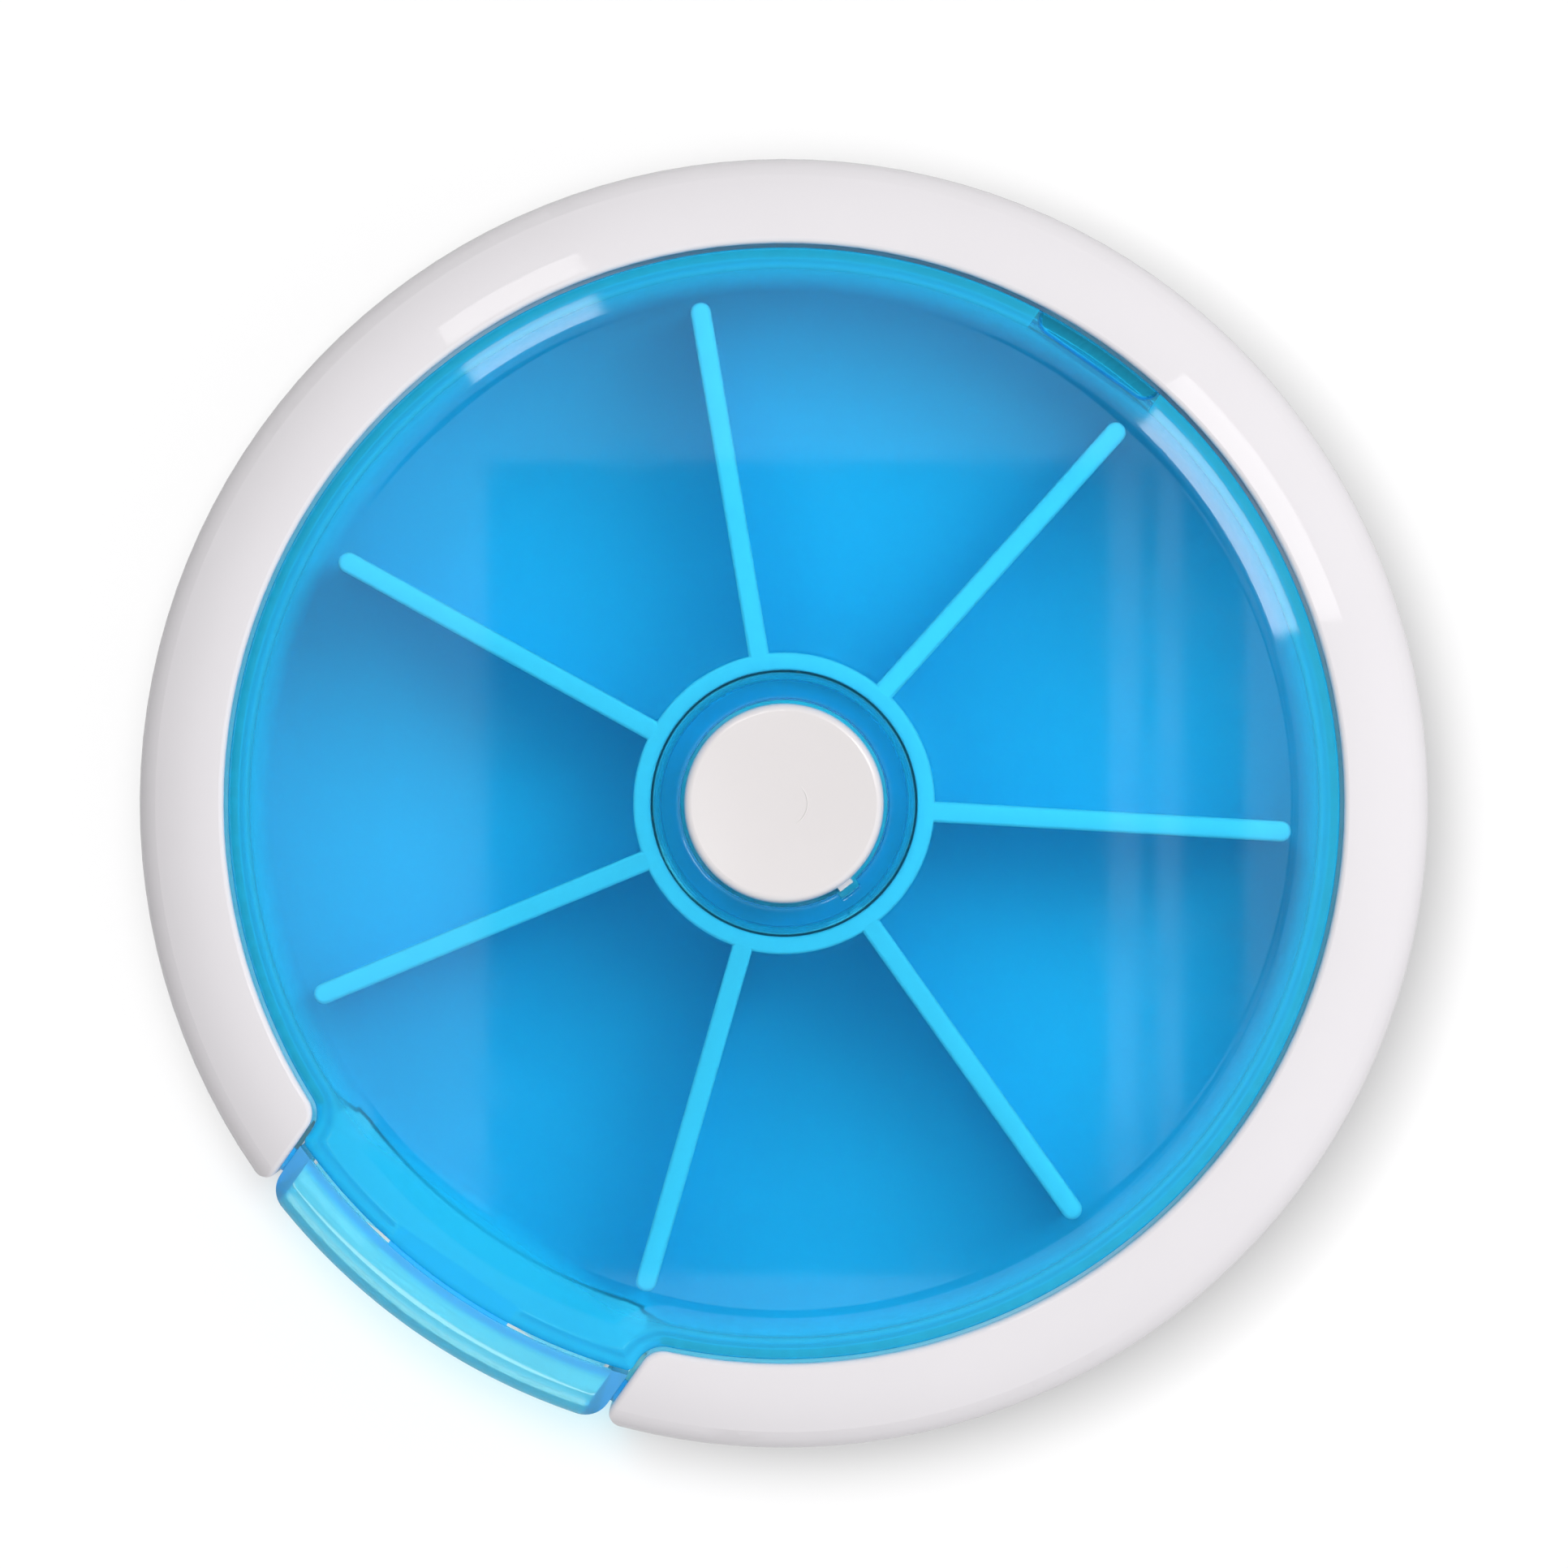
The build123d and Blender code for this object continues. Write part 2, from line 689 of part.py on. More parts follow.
def groove_path():
    """Helix that a lug follows in the sleeve: it drops by the button's travel while the sleeve turns."""
    turn_height = button_travel * 360.0 / drive_turn
    height = button_travel + 2 * groove_run_out
    low = lug_height - button_travel - groove_run_out
    start_angle = -drive_turn * (button_travel + groove_run_out) / button_travel
    path = Pos(0, 0, low) * Helix(turn_height, height, sleeve_outer_radius)
    return turned(path, start_angle)


def drive_sleeve():
    """Sleeve on the post: grooved tube above, flange, and a hub with key slots for the pawl ring."""
    outline = Polyline(
        (sleeve_bore_radius, journal_top),
        (sleeve_hub_radius, journal_top),
        (sleeve_hub_radius, sleeve_flange_bottom),
        (sleeve_flange_radius, sleeve_flange_bottom),
        (sleeve_flange_radius, sleeve_flange_top),
        (sleeve_outer_radius, sleeve_flange_top),
        (sleeve_outer_radius, sleeve_top),
        (sleeve_bore_radius, sleeve_top),
        (sleeve_bore_radius, journal_top),
    )
    body = spun([outline])
    path = groove_path()
    section = Plane(origin=path @ 0, z_dir=path % 0) * Circle(groove_radius)
    groove = sweep(section, path=path, is_frenet=True)
    for k in range(lug_count):
        body = body - turned(groove, first_lug_angle + k * 360.0 / lug_count)
    slot_half = pawl_key_width / 2 + pawl_ring_fit
    slot_depth = pawl_key_depth + pawl_ring_fit
    slot = block(
        sleeve_hub_radius - slot_depth,
        sleeve_flange_radius,
        -slot_half,
        slot_half,
        journal_top,
        sleeve_flange_bottom,
    )
    for k in range(lug_count):
        body = body - turned(slot, k * 360.0 / lug_count)
    return body


def pawl_ring():
    """Springy ring keyed to the sleeve's hub, with arms whose tips stand behind the ratchet teeth."""
    inner = sleeve_hub_radius + pawl_ring_fit
    outer = inner + pawl_ring_wall
    top = pawl_ring_bottom + pawl_ring_height
    ring = ring_of(inner, outer, pawl_ring_bottom, top)
    key = block(
        sleeve_hub_radius - pawl_key_depth,
        inner + pawl_ring_wall / 2,
        -pawl_key_width / 2,
        pawl_key_width / 2,
        pawl_ring_bottom,
        top,
    )
    for k in range(lug_count):
        ring = ring + turned(key, k * 360.0 / lug_count)
    tip = Vector(*at_angle(pawl_tip_radius, 0))
    root = Vector(*at_angle(inner + pawl_ring_wall / 2, -pawl_reach))
    along = tip - root
    beam = Rectangle(along.length, pawl_width)
    lean = math.degrees(math.atan2(along.Y, along.X))
    middle = (tip + root) * 0.5
    arm = Pos(middle.X, middle.Y, pawl_ring_bottom) * extrude(Rot(0, 0, lean) * beam, pawl_ring_height)
    for step in pawl_steps:
        angle = first_tooth_angle - pawl_tip_gap + step * pitch_angle
        ring = ring + turned(arm, angle)
    return ring


def button():
    """Push button: dished cap, skirt with a flange under the collar, two lugs, spring peg and key rib."""
    edge = button_edge_round
    lean = math.radians(45)
    rim = button_radius - edge
    round_turn = (rim + edge * math.cos(lean), button_top - edge + edge * math.sin(lean))
    dish_bend = (rim**2 + button_dish**2) / (2 * button_dish)
    half = rim / 2
    half_height = button_top - button_dish + dish_bend - math.sqrt(dish_bend**2 - half**2)
    dish = ThreePointArc((rim, button_top), (half, half_height), (0, button_top - button_dish))
    edge_arc = ThreePointArc((button_radius, button_top - edge), round_turn, (rim, button_top))
    inside = Polyline(
        (0, button_top - button_dish),
        (0, button_ceiling - spring_peg_height),
        (spring_peg_radius, button_ceiling - spring_peg_height),
        (spring_peg_radius, button_ceiling),
        (button_skirt_inner_radius, button_ceiling),
        (button_skirt_inner_radius, button_skirt_bottom),
        (button_radius, button_skirt_bottom),
        (button_radius, button_flange_bottom),
        (button_flange_radius, button_flange_bottom),
        (button_flange_radius, button_flange_top),
        (button_radius, button_flange_top),
        (button_radius, button_top - edge),
    )
    body = spun([dish, edge_arc, inside])
    stem_length = (button_radius + button_skirt_inner_radius) / 2 - sleeve_outer_radius
    lug = Pos(sleeve_outer_radius, 0, lug_height) * Sphere(lug_radius)
    lug = lug + Pos(sleeve_outer_radius, 0, lug_height) * Rot(0, 90, 0) * Cylinder(
        lug_radius, stem_length, align=(Align.CENTER, Align.CENTER, Align.MIN)
    )
    for k in range(lug_count):
        body = body + turned(lug, first_lug_angle + k * 360.0 / lug_count)
    rib = block(
        button_radius - key_height,
        button_radius + key_height,
        -key_width / 2,
        key_width / 2,
        button_flange_bottom,
        button_top - key_drop,
    )
    return body + turned(rib, key_angle)


def return_spring():
    """Coil spring from the washer up to the button's ceiling, as one wire."""
    low = washer_top + spring_wire / 2 + spring_end_gap
    height = button_ceiling - spring_wire / 2 - spring_end_gap - low
    path = Pos(0, 0, low) * Helix(height / spring_turns, height, spring_mean_radius)
    section = Plane(origin=path @ 0, z_dir=path % 0) * Circle(spring_wire / 2)
    return sweep(section, path=path, is_frenet=True)


def retaining_washer():
    """Steel washer that keeps the sleeve on its post and seats the return spring."""
    return ring_of(pilot_radius + screw_fit, washer_radius, post_top, washer_top)


def cross_recess(top):
    """Cross slot in a screw head whose top is at a height."""
    half = cross_length / 2
    slot = block(-half, half, -cross_width / 2, cross_width / 2, top - cross_depth, top)
    return [slot, turned(slot, 90)]


def centre_screw():
    """Screw with a domed head that holds the washer on the post."""
    head = disc(screw_head_radius, washer_top, washer_top + screw_head_height)
    top_edge = head.edges().group_by(Axis.Z)[-1]
    head = fillet(top_edge, screw_head_height / 2)
    shank = disc(screw_shank_radius, washer_top - screw_shank_length, washer_top)
    return head + shank - cross_recess(washer_top + screw_head_height)


def index_spring():
    """Leaf spring staked in its pocket, with a nose that stands in a notch under the tray."""
    base = floor_top - index_pocket_depth
    top_line = [
        (-index_fixed_length, base + index_leaf),
        (index_bend_x, base + index_leaf),
        (-index_foot_half_width, base + index_foot_height + index_leaf),
        (-index_nose_half_width, base + index_nose_height + index_leaf),
        (index_nose_half_width, base + index_nose_height + index_leaf),
        (index_foot_half_width, base + index_foot_height + index_leaf),
        (index_tail_length, base + index_tail_height + index_leaf),
    ]
    under_line = [(x, z - index_leaf) for x, z in reversed(top_line)]
    outline = Polyline(*(top_line + under_line), close=True)
    leaf = extrude(Plane.XZ * make_face(outline), index_width / 2, both=True)
    leaf = Pos(0, index_radius, 0) * leaf
    for x, y in stake_spots():
        leaf = leaf - Pos(x, y, 0) * disc(stake_radius + screw_fit, below_everything, above_everything)
    return leaf


def case_screws():
    """Four self-tapping screws, each from its counterbore in the base up into its boss."""
    head_top = counterbore_depth
    head_bottom = head_top - case_screw_head_height
    screw = disc(case_screw_head_radius, head_bottom, head_top)
    screw = screw + disc(case_screw_shank_radius, head_top, head_top + case_screw_length)
    screw = screw - cross_recess(head_bottom + cross_depth)
    return Compound([Pos(x, y, 0) * screw for x, y in case_screw_spots()])


pieces = {
    "base_shell": base_shell,
    "case_shell": case_shell,
    "case_screws": case_screws,
    "lid": lid,
    "flap": flap,
    "tray": tray,
    "button": button,
    "return_spring": return_spring,
    "drive_sleeve": drive_sleeve,
    "pawl_ring": pawl_ring,
    "retaining_washer": retaining_washer,
    "centre_screw": centre_screw,
    "index_spring": index_spring,
}

os.makedirs("parts", exist_ok=True)
for name, make in pieces.items():
    export_step(make(), os.path.join("parts", name + ".step"))
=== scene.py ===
import math

import bmesh
import bpy
import numpy as np
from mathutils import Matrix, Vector


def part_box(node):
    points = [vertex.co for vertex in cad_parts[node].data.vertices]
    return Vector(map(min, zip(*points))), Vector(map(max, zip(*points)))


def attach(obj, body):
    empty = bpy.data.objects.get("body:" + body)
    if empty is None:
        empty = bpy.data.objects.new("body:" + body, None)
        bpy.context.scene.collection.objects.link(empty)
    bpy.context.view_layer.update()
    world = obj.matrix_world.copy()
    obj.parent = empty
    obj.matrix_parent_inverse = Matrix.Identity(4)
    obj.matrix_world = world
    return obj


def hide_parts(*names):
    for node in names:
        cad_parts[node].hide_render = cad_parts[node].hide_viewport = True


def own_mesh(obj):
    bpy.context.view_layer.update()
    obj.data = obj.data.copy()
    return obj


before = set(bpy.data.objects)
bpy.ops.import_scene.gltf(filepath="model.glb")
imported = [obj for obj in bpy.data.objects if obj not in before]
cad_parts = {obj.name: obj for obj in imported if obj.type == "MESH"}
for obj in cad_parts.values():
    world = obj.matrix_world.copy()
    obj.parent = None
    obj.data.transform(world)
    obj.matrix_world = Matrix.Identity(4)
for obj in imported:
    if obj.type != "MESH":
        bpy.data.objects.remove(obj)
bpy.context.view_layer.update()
mm = 0.001

# The camera. It stands high over the closed box and looks straight down through a long lens,
# with the outlet at the lower left of the picture.
picture_width = 106.7 * mm
ring_height = 25.0 * mm
camera_distance = 950.0 * mm
camera_turn = math.radians(35.0)
camera_above_centre = 1.32 * mm
camera_data = bpy.data.cameras.new("camera")
camera_data.sensor_width = 36.0
camera_data.lens = camera_data.sensor_width * camera_distance / picture_width
camera_data.clip_start = 0.01
camera_data.clip_end = 20.0
camera = bpy.data.objects.new("camera", camera_data)
bpy.context.scene.collection.objects.link(camera)
picture_up = Vector((-math.sin(camera_turn), math.cos(camera_turn), 0.0))
picture_right = Vector((math.cos(camera_turn), math.sin(camera_turn), 0.0))
camera.location = picture_up * camera_above_centre + Vector((0, 0, ring_height + camera_distance))
camera.rotation_euler = (0.0, 0.0, camera_turn)
bpy.context.scene.camera = camera


# The floor: plain white sheeting under the box. The camera sees it white up to the horizon, because the sheet's
# own glow makes up for what the small lamp loses on the way out. It still holds the box's soft shadow.
def node_tree(name):
    """A new material with an empty tree and its output node."""
    material = bpy.data.materials.new(name)
    material.use_nodes = True
    tree = material.node_tree
    tree.nodes.clear()
    output = tree.nodes.new("ShaderNodeOutputMaterial")
    return material, tree, output


def calculated(tree, operation, first, second=0.0):
    """A Math node on two values, each a socket or a number."""
    node = tree.nodes.new("ShaderNodeMath")
    node.operation = operation
    for socket, value in zip(node.inputs, (first, second)):
        if isinstance(value, float):
            socket.default_value = value
        else:
            tree.links.new(value, socket)
    return node.outputs[0]


floor_size = 3.0
floor_colour = (0.30, 0.30, 0.30, 1.0)
floor_lift = 0.37
floor_lift_through_plastic = 0.70
floor_lamp_share = 0.50
floor_material, tree, output = node_tree("floor_sheet")
sheet = tree.nodes.new("ShaderNodeBsdfDiffuse")
sheet.inputs["Color"].default_value = floor_colour
glow = tree.nodes.new("ShaderNodeEmission")
glow.inputs["Color"].default_value = (1.0, 1.0, 1.0, 1.0)
place = tree.nodes.new("ShaderNodeTexCoord")
spread = tree.nodes.new("ShaderNodeVectorMath")
spread.operation = "DOT_PRODUCT"
tree.links.new(place.outputs["Object"], spread.inputs[0])
tree.links.new(place.outputs["Object"], spread.inputs[1])
lift = calculated(tree, "POWER", calculated(tree, "ADD", spread.outputs["Value"], 1.0), -2.0)
lift = calculated(tree, "MULTIPLY", lift, -floor_lamp_share)
lift = calculated(tree, "ADD", lift, floor_lift + floor_lamp_share)
path = tree.nodes.new("ShaderNodeLightPath")
direct = calculated(tree, "MULTIPLY", path.outputs["Is Camera Ray"], lift)
through = calculated(tree, "MULTIPLY", path.outputs["Is Transmission Ray"], floor_lift_through_plastic)
tree.links.new(calculated(tree, "ADD", through, direct), glow.inputs["Strength"])
both = tree.nodes.new("ShaderNodeAddShader")
tree.links.new(sheet.outputs[0], both.inputs[0])
tree.links.new(glow.outputs[0], both.inputs[1])
tree.links.new(both.outputs[0], output.inputs["Surface"])
floor_mesh = bpy.data.meshes.new("floor")
half = floor_size / 2
floor_corners = [(-half, -half, 0), (half, -half, 0), (half, half, 0), (-half, half, 0)]
floor_mesh.from_pydata(floor_corners, [], [(0, 1, 2, 3)])
floor_mesh.materials.append(floor_material)
floor = bpy.data.objects.new("floor", floor_mesh)
bpy.context.scene.collection.objects.link(floor)


# The studio: a pale tent, brighter overhead and to the right, with a dark card and strips round the lens. Soft
# boxes light all but the floor from the right and the upper left; two more show only in gloss, as the pale
# patches on ring and lid. A small lamp throws the shadow on the sheet.
tent_low = 0.335
tent_rise = 0.40
tent_side = 0.42
tent_side_azimuth = -30.0
tent_colour = (1.0, 0.985, 1.0, 1.0)


def direction(azimuth, polar):
    """A direction given by its angle in the picture from the right, and its angle from straight up."""
    turn = math.radians(azimuth) + camera_turn
    lean = math.radians(polar)
    return Vector((math.sin(lean) * math.cos(turn), math.sin(lean) * math.sin(turn), math.cos(lean)))


world = bpy.data.worlds.new("tent")
world.use_nodes = True
bpy.context.scene.world = world
tree = world.node_tree
tree.nodes.clear()
world_output = tree.nodes.new("ShaderNodeOutputWorld")
tent = tree.nodes.new("ShaderNodeBackground")
tent.inputs["Color"].default_value = tent_colour
sky = tree.nodes.new("ShaderNodeTexCoord")
slope = tree.nodes.new("ShaderNodeVectorMath")
slope.operation = "DOT_PRODUCT"
slope.inputs[1].default_value = direction(tent_side_azimuth, 90.0) * tent_side + Vector((0, 0, tent_rise))
tree.links.new(sky.outputs["Generated"], slope.inputs[0])
tree.links.new(calculated(tree, "ADD", slope.outputs["Value"], tent_low), tent.inputs["Strength"])
backdrop = tree.nodes.new("ShaderNodeBackground")
backdrop.inputs["Color"].default_value = (1.0, 1.0, 1.0, 1.0)
backdrop.inputs["Strength"].default_value = 1.0
choose = tree.nodes.new("ShaderNodeMixShader")
path = tree.nodes.new("ShaderNodeLightPath")
tree.links.new(path.outputs["Is Camera Ray"], choose.inputs[0])
tree.links.new(tent.outputs[0], choose.inputs[1])
tree.links.new(backdrop.outputs[0], choose.inputs[2])
tree.links.new(choose.outputs[0], world_output.inputs["Surface"])

box_reach = 1.60
box_rows = 6
box_columns = 6
not_floor = bpy.data.collections.new("not_floor")
not_floor.objects.link(floor)
not_floor.collection_objects[0].light_linking.link_state = "EXCLUDE"


def soft_box(name, azimuths, polars, brightness, colour, mirrored):
    """A piece of a dome seen from the box. It lights all but the floor, or else it only shows in gloss."""
    material, tree, output = node_tree(name)
    face = tree.nodes.new("ShaderNodeEmission")
    face.inputs["Color"].default_value = (*colour, 1.0)
    face.inputs["Strength"].default_value = brightness
    tree.links.new(face.outputs[0], output.inputs["Surface"])
    points = []
    for i in range(box_rows + 1):
        polar = polars[0] + (polars[1] - polars[0]) * i / box_rows
        for k in range(box_columns + 1):
            azimuth = azimuths[0] + (azimuths[1] - azimuths[0]) * k / box_columns
            points.append(direction(azimuth, polar) * box_reach)
    faces = []
    for i in range(box_rows):
        for k in range(box_columns):
            here = i * (box_columns + 1) + k
            faces.append((here, here + 1, here + box_columns + 2, here + box_columns + 1))
    mesh = bpy.data.meshes.new(name)
    mesh.from_pydata(points, [], faces)
    mesh.materials.append(material)
    lamp = bpy.data.objects.new(name, mesh)
    bpy.context.scene.collection.objects.link(lamp)
    lamp.visible_camera = False
    lamp.visible_shadow = False
    lamp.visible_glossy = mirrored
    lamp.visible_diffuse = not mirrored
    lamp.light_linking.receiver_collection = not_floor


right_azimuths = (18.5, 46.5)
right_colour = (1.0, 0.99, 1.0)
left_azimuths = (110.5, 126.5)
left_colour = (1.0, 0.985, 0.97)
soft_box("soft_box_right", right_azimuths, (14.0, 43.0), 8.0, right_colour, mirrored=False)
soft_box("soft_box_left", left_azimuths, (21.0, 45.0), 8.0, left_colour, mirrored=False)
soft_box("mirrored_right", right_azimuths, (10.5, 27.0), 9.0, right_colour, mirrored=True)
soft_box("mirrored_left", left_azimuths, (13.0, 27.0), 8.0, left_colour, mirrored=True)

floor_lamp_size = 0.26
floor_lamp_energy = 16.5
floor_lamp_way = direction(140.0, 5.5)
floor_lamp_data = bpy.data.lights.new("floor_lamp", "AREA")
floor_lamp_data.shape = "SQUARE"
floor_lamp_data.size = floor_lamp_size
floor_lamp_data.energy = floor_lamp_energy
floor_lamp = bpy.data.objects.new("floor_lamp", floor_lamp_data)
bpy.context.scene.collection.objects.link(floor_lamp)
floor_lamp.location = floor_lamp_way
floor_lamp.rotation_euler = floor_lamp_way.to_track_quat("Z", "Y").to_euler()
only_floor = bpy.data.collections.new("only_floor")
only_floor.objects.link(floor)
floor_lamp.light_linking.receiver_collection = only_floor

card_height = 1010.0 * mm
card_strips = ((-94.0 * mm, 103.0 * mm), (113.0 * mm, 118.0 * mm), (126.0 * mm, 146.0 * mm))
card_half_height = 129.0 * mm
card_shift_up = -22.0 * mm
card_colour = (0.05, 0.05, 0.055, 1.0)
card_material, tree, output = node_tree("dark_card")
card_face = tree.nodes.new("ShaderNodeBsdfDiffuse")
card_face.inputs["Color"].default_value = card_colour
tree.links.new(card_face.outputs[0], output.inputs["Surface"])
card_mesh = bpy.data.meshes.new("dark_card")
card_centre = picture_up * card_shift_up + Vector((0, 0, card_height))
card_corners = []
card_faces = []
for left, right in card_strips:
    first = len(card_corners)
    for side, rise in ((left, -1), (right, -1), (right, 1), (left, 1)):
        card_corners.append(card_centre + picture_right * side + picture_up * rise * card_half_height)
    card_faces.append((first + 3, first + 2, first + 1, first))
card_mesh.from_pydata(card_corners, [], card_faces)
card_mesh.materials.append(card_material)
card = bpy.data.objects.new("dark_card", card_mesh)
bpy.context.scene.collection.objects.link(card)
card.visible_camera = False
card.visible_shadow = False
card.visible_diffuse = False


# The two white shells: polystyrene mouldings, polished but not quite flat, screwed together from below.
# Their shapes are the frame's own.
def noise(tree, scale, detail):
    """Noise in the object's own coordinates."""
    place = tree.nodes.new("ShaderNodeTexCoord")
    texture = tree.nodes.new("ShaderNodeTexNoise")
    texture.inputs["Scale"].default_value = scale
    texture.inputs["Detail"].default_value = detail
    tree.links.new(place.outputs["Object"], texture.inputs["Vector"])
    return texture.outputs["Fac"]


def mixed(tree, share, first, second):
    """A colour between two by a share. Each of them is a socket or three numbers."""
    mix = tree.nodes.new("ShaderNodeMixRGB")
    tree.links.new(share, mix.inputs["Fac"])
    for socket, colour in ((mix.inputs["Color1"], first), (mix.inputs["Color2"], second)):
        if isinstance(colour, tuple):
            socket.default_value = (*colour, 1.0)
        else:
            tree.links.new(colour, socket)
    return mix.outputs[0]


def mapped(tree, source, start, end, low, high, way="LINEAR"):
    """The source's range from start to end laid on the range from low to high, and held beyond it."""
    laid = tree.nodes.new("ShaderNodeMapRange")
    laid.interpolation_type = way
    for label, value in (("From Min", start), ("From Max", end), ("To Min", low), ("To Max", high)):
        laid.inputs[label].default_value = value
    tree.links.new(source, laid.inputs["Value"])
    return laid.outputs[0]


def bumped(tree, height, strength, distance, normal=None):
    """A bump by a height, on top of another normal where one is given."""
    bump = tree.nodes.new("ShaderNodeBump")
    bump.inputs["Strength"].default_value = strength
    bump.inputs["Distance"].default_value = distance
    tree.links.new(height, bump.inputs["Height"])
    if normal is not None:
        tree.links.new(normal, bump.inputs["Normal"])
    return bump.outputs[0]


def plastic(name, colour, roughness, mottle=0.02, grain=0.015, wave=0.05, level=0.5):
    """Moulded opaque plastic: a faint mottle in the colour, a fine grain and a slow waviness in the gloss."""
    material, tree, output = node_tree(name)
    body = tree.nodes.new("ShaderNodeBsdfPrincipled")
    body.inputs["IOR"].default_value = 1.5
    body.inputs["Specular IOR Level"].default_value = level
    clouds = noise(tree, 110.0, 4.0)
    darker = tuple(c * (1 - mottle) for c in colour)
    lighter = tuple(min(c * (1 + mottle), 1.0) for c in colour)
    tree.links.new(mixed(tree, clouds, darker, lighter), body.inputs["Base Color"])
    gloss = mapped(tree, clouds, 0.0, 1.0, roughness * 0.85, roughness * 1.15)
    tree.links.new(gloss, body.inputs["Roughness"])
    slow = bumped(tree, noise(tree, 60.0, 2.0), wave, 0.5 * mm)
    fine = bumped(tree, noise(tree, 1500.0, 2.0), grain, 0.1 * mm, slow)
    tree.links.new(fine, body.inputs["Normal"])
    tree.links.new(body.outputs[0], output.inputs["Surface"])
    return material


def finish_node(name, material):
    """Gives a frame node its finish."""
    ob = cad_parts[name]
    if not ob.material_slots:
        ob.data.materials.append(material)
    for slot in ob.material_slots:
        slot.material = material


shell_white = plastic("shell_white", (0.862, 0.847, 0.867), 0.03, level=0.15)
finish_node("base_shell", shell_white)
finish_node("case_shell", shell_white)


# The steel small parts: zinc-plated screws and washer, and bright drawn spring wire and leaf. The centre screw
# holds the washer on the base's post, and the leaf is staked to the base under the tray.
def steel(name, colour, roughness, streak_scale):
    """Bright plated steel with fine streaks in its gloss."""
    material, tree, output = node_tree(name)
    body = tree.nodes.new("ShaderNodeBsdfPrincipled")
    body.inputs["Metallic"].default_value = 1.0
    streaks = noise(tree, streak_scale, 5.0)
    darker = tuple(c * 0.85 for c in colour)
    tree.links.new(mixed(tree, streaks, darker, colour), body.inputs["Base Color"])
    gloss = mapped(tree, streaks, 0.0, 1.0, roughness * 0.7, roughness * 1.3)
    tree.links.new(gloss, body.inputs["Roughness"])
    tree.links.new(bumped(tree, streaks, 0.08, 0.05 * mm), body.inputs["Normal"])
    tree.links.new(body.outputs[0], output.inputs["Surface"])
    return material


plated_steel = steel("plated_steel", (0.66, 0.67, 0.70), 0.28, 900.0)
spring_steel = steel("spring_steel", (0.58, 0.57, 0.56), 0.22, 1400.0)
for node in ("centre_screw", "retaining_washer"):
    finish_node(node, plated_steel)
finish_node("index_spring", spring_steel)


# The four case screws: self-tapping screws of plated steel with a pan head, a cross recess and a rolled thread.
# They are driven from below through the base into the bosses of the upper shell.
def on_circle(centre, radius, angle):
    """A point on a circle at an angle in radians."""
    return (centre[0] + radius * math.cos(angle), centre[1] + radius * math.sin(angle))


def spaced(start, end, count):
    """Angles or lengths from start up to, but not including, end."""
    return [start + (end - start) * k / count for k in range(count)]


def mesh_from_loops(name, loops):
    """A closed surface through a closed series of rings of points, in millimetres."""
    ring = len(loops[0])
    count = len(loops)
    points = np.concatenate([np.asarray(loop, dtype=float) for loop in loops]) * mm
    faces = []
    for k in range(count):
        here = k * ring
        there = ((k + 1) % count) * ring
        for i in range(ring):
            j = (i + 1) % ring
            faces.append((here + i, there + i, there + j, here + j))
    mesh = bpy.data.meshes.new(name)
    mesh.from_pydata(points.tolist(), [], faces)
    return tidy_mesh(mesh)


def tidy_mesh(mesh):
    """Merges doubled points and turns every face outwards."""
    work = bmesh.new()
    work.from_mesh(mesh)
    bmesh.ops.remove_doubles(work, verts=work.verts, dist=1e-7)
    bmesh.ops.dissolve_degenerate(work, edges=work.edges, dist=1e-8)
    bmesh.ops.delete(work, geom=[edge for edge in work.edges if not edge.link_faces], context="EDGES")
    bmesh.ops.recalc_face_normals(work, faces=work.faces)
    if work.calc_volume(signed=True) < 0:
        bmesh.ops.reverse_faces(work, faces=work.faces)
    work.to_mesh(mesh)
    work.free()
    return mesh


def placed(name, mesh, material):
    """A new object at the origin with one material."""
    mesh.materials.clear()
    mesh.materials.append(material)
    ob = bpy.data.objects.new(name, mesh)
    bpy.context.scene.collection.objects.link(ob)
    return ob


def shade(ob, angle):
    """Smooth shading, with edges sharper than an angle in degrees kept sharp."""
    ob.data.shade_smooth()
    ob.data.set_sharp_from_angle(angle=math.radians(angle))


def applied(ob):
    """Turns the object's modifiers into its plain mesh."""
    bpy.context.view_layer.update()
    graph = bpy.context.evaluated_depsgraph_get()
    mesh = bpy.data.meshes.new_from_object(ob.evaluated_get(graph))
    ob.modifiers.clear()
    ob.data = mesh
    return ob


def cut_away(ob, cutter, operation="DIFFERENCE"):
    """Cuts a closed mesh object out of another, or joins it on, and deletes the cutter."""
    knife = ob.modifiers.new("cut", "BOOLEAN")
    knife.operation = operation
    knife.solver = "EXACT"
    knife.object = cutter
    applied(ob)
    bpy.data.objects.remove(cutter, do_unlink=True)
    return ob


def stacked(name, loops, material):
    """A closed solid through a stack of outlines in millimetres, flat at both ends."""
    count = len(loops[0])
    points = [(x * mm, y * mm, z * mm) for loop in loops for x, y, z in loop]
    faces = [tuple(reversed(range(count))), tuple(range(len(points) - count, len(points)))]
    for k in range(len(loops) - 1):
        for i in range(count):
            j = (i + 1) % count
            faces.append((k * count + i, k * count + j, (k + 1) * count + j, (k + 1) * count + i))
    mesh = bpy.data.meshes.new(name)
    mesh.from_pydata(points, [], faces)
    return placed(name, tidy_mesh(mesh), material)


def prism(name, outline, low, high, material):
    """A closed upright prism on an outline in millimetres."""
    return stacked(name, [[(x, y, z) for x, y in outline] for z in (low, high)], material)


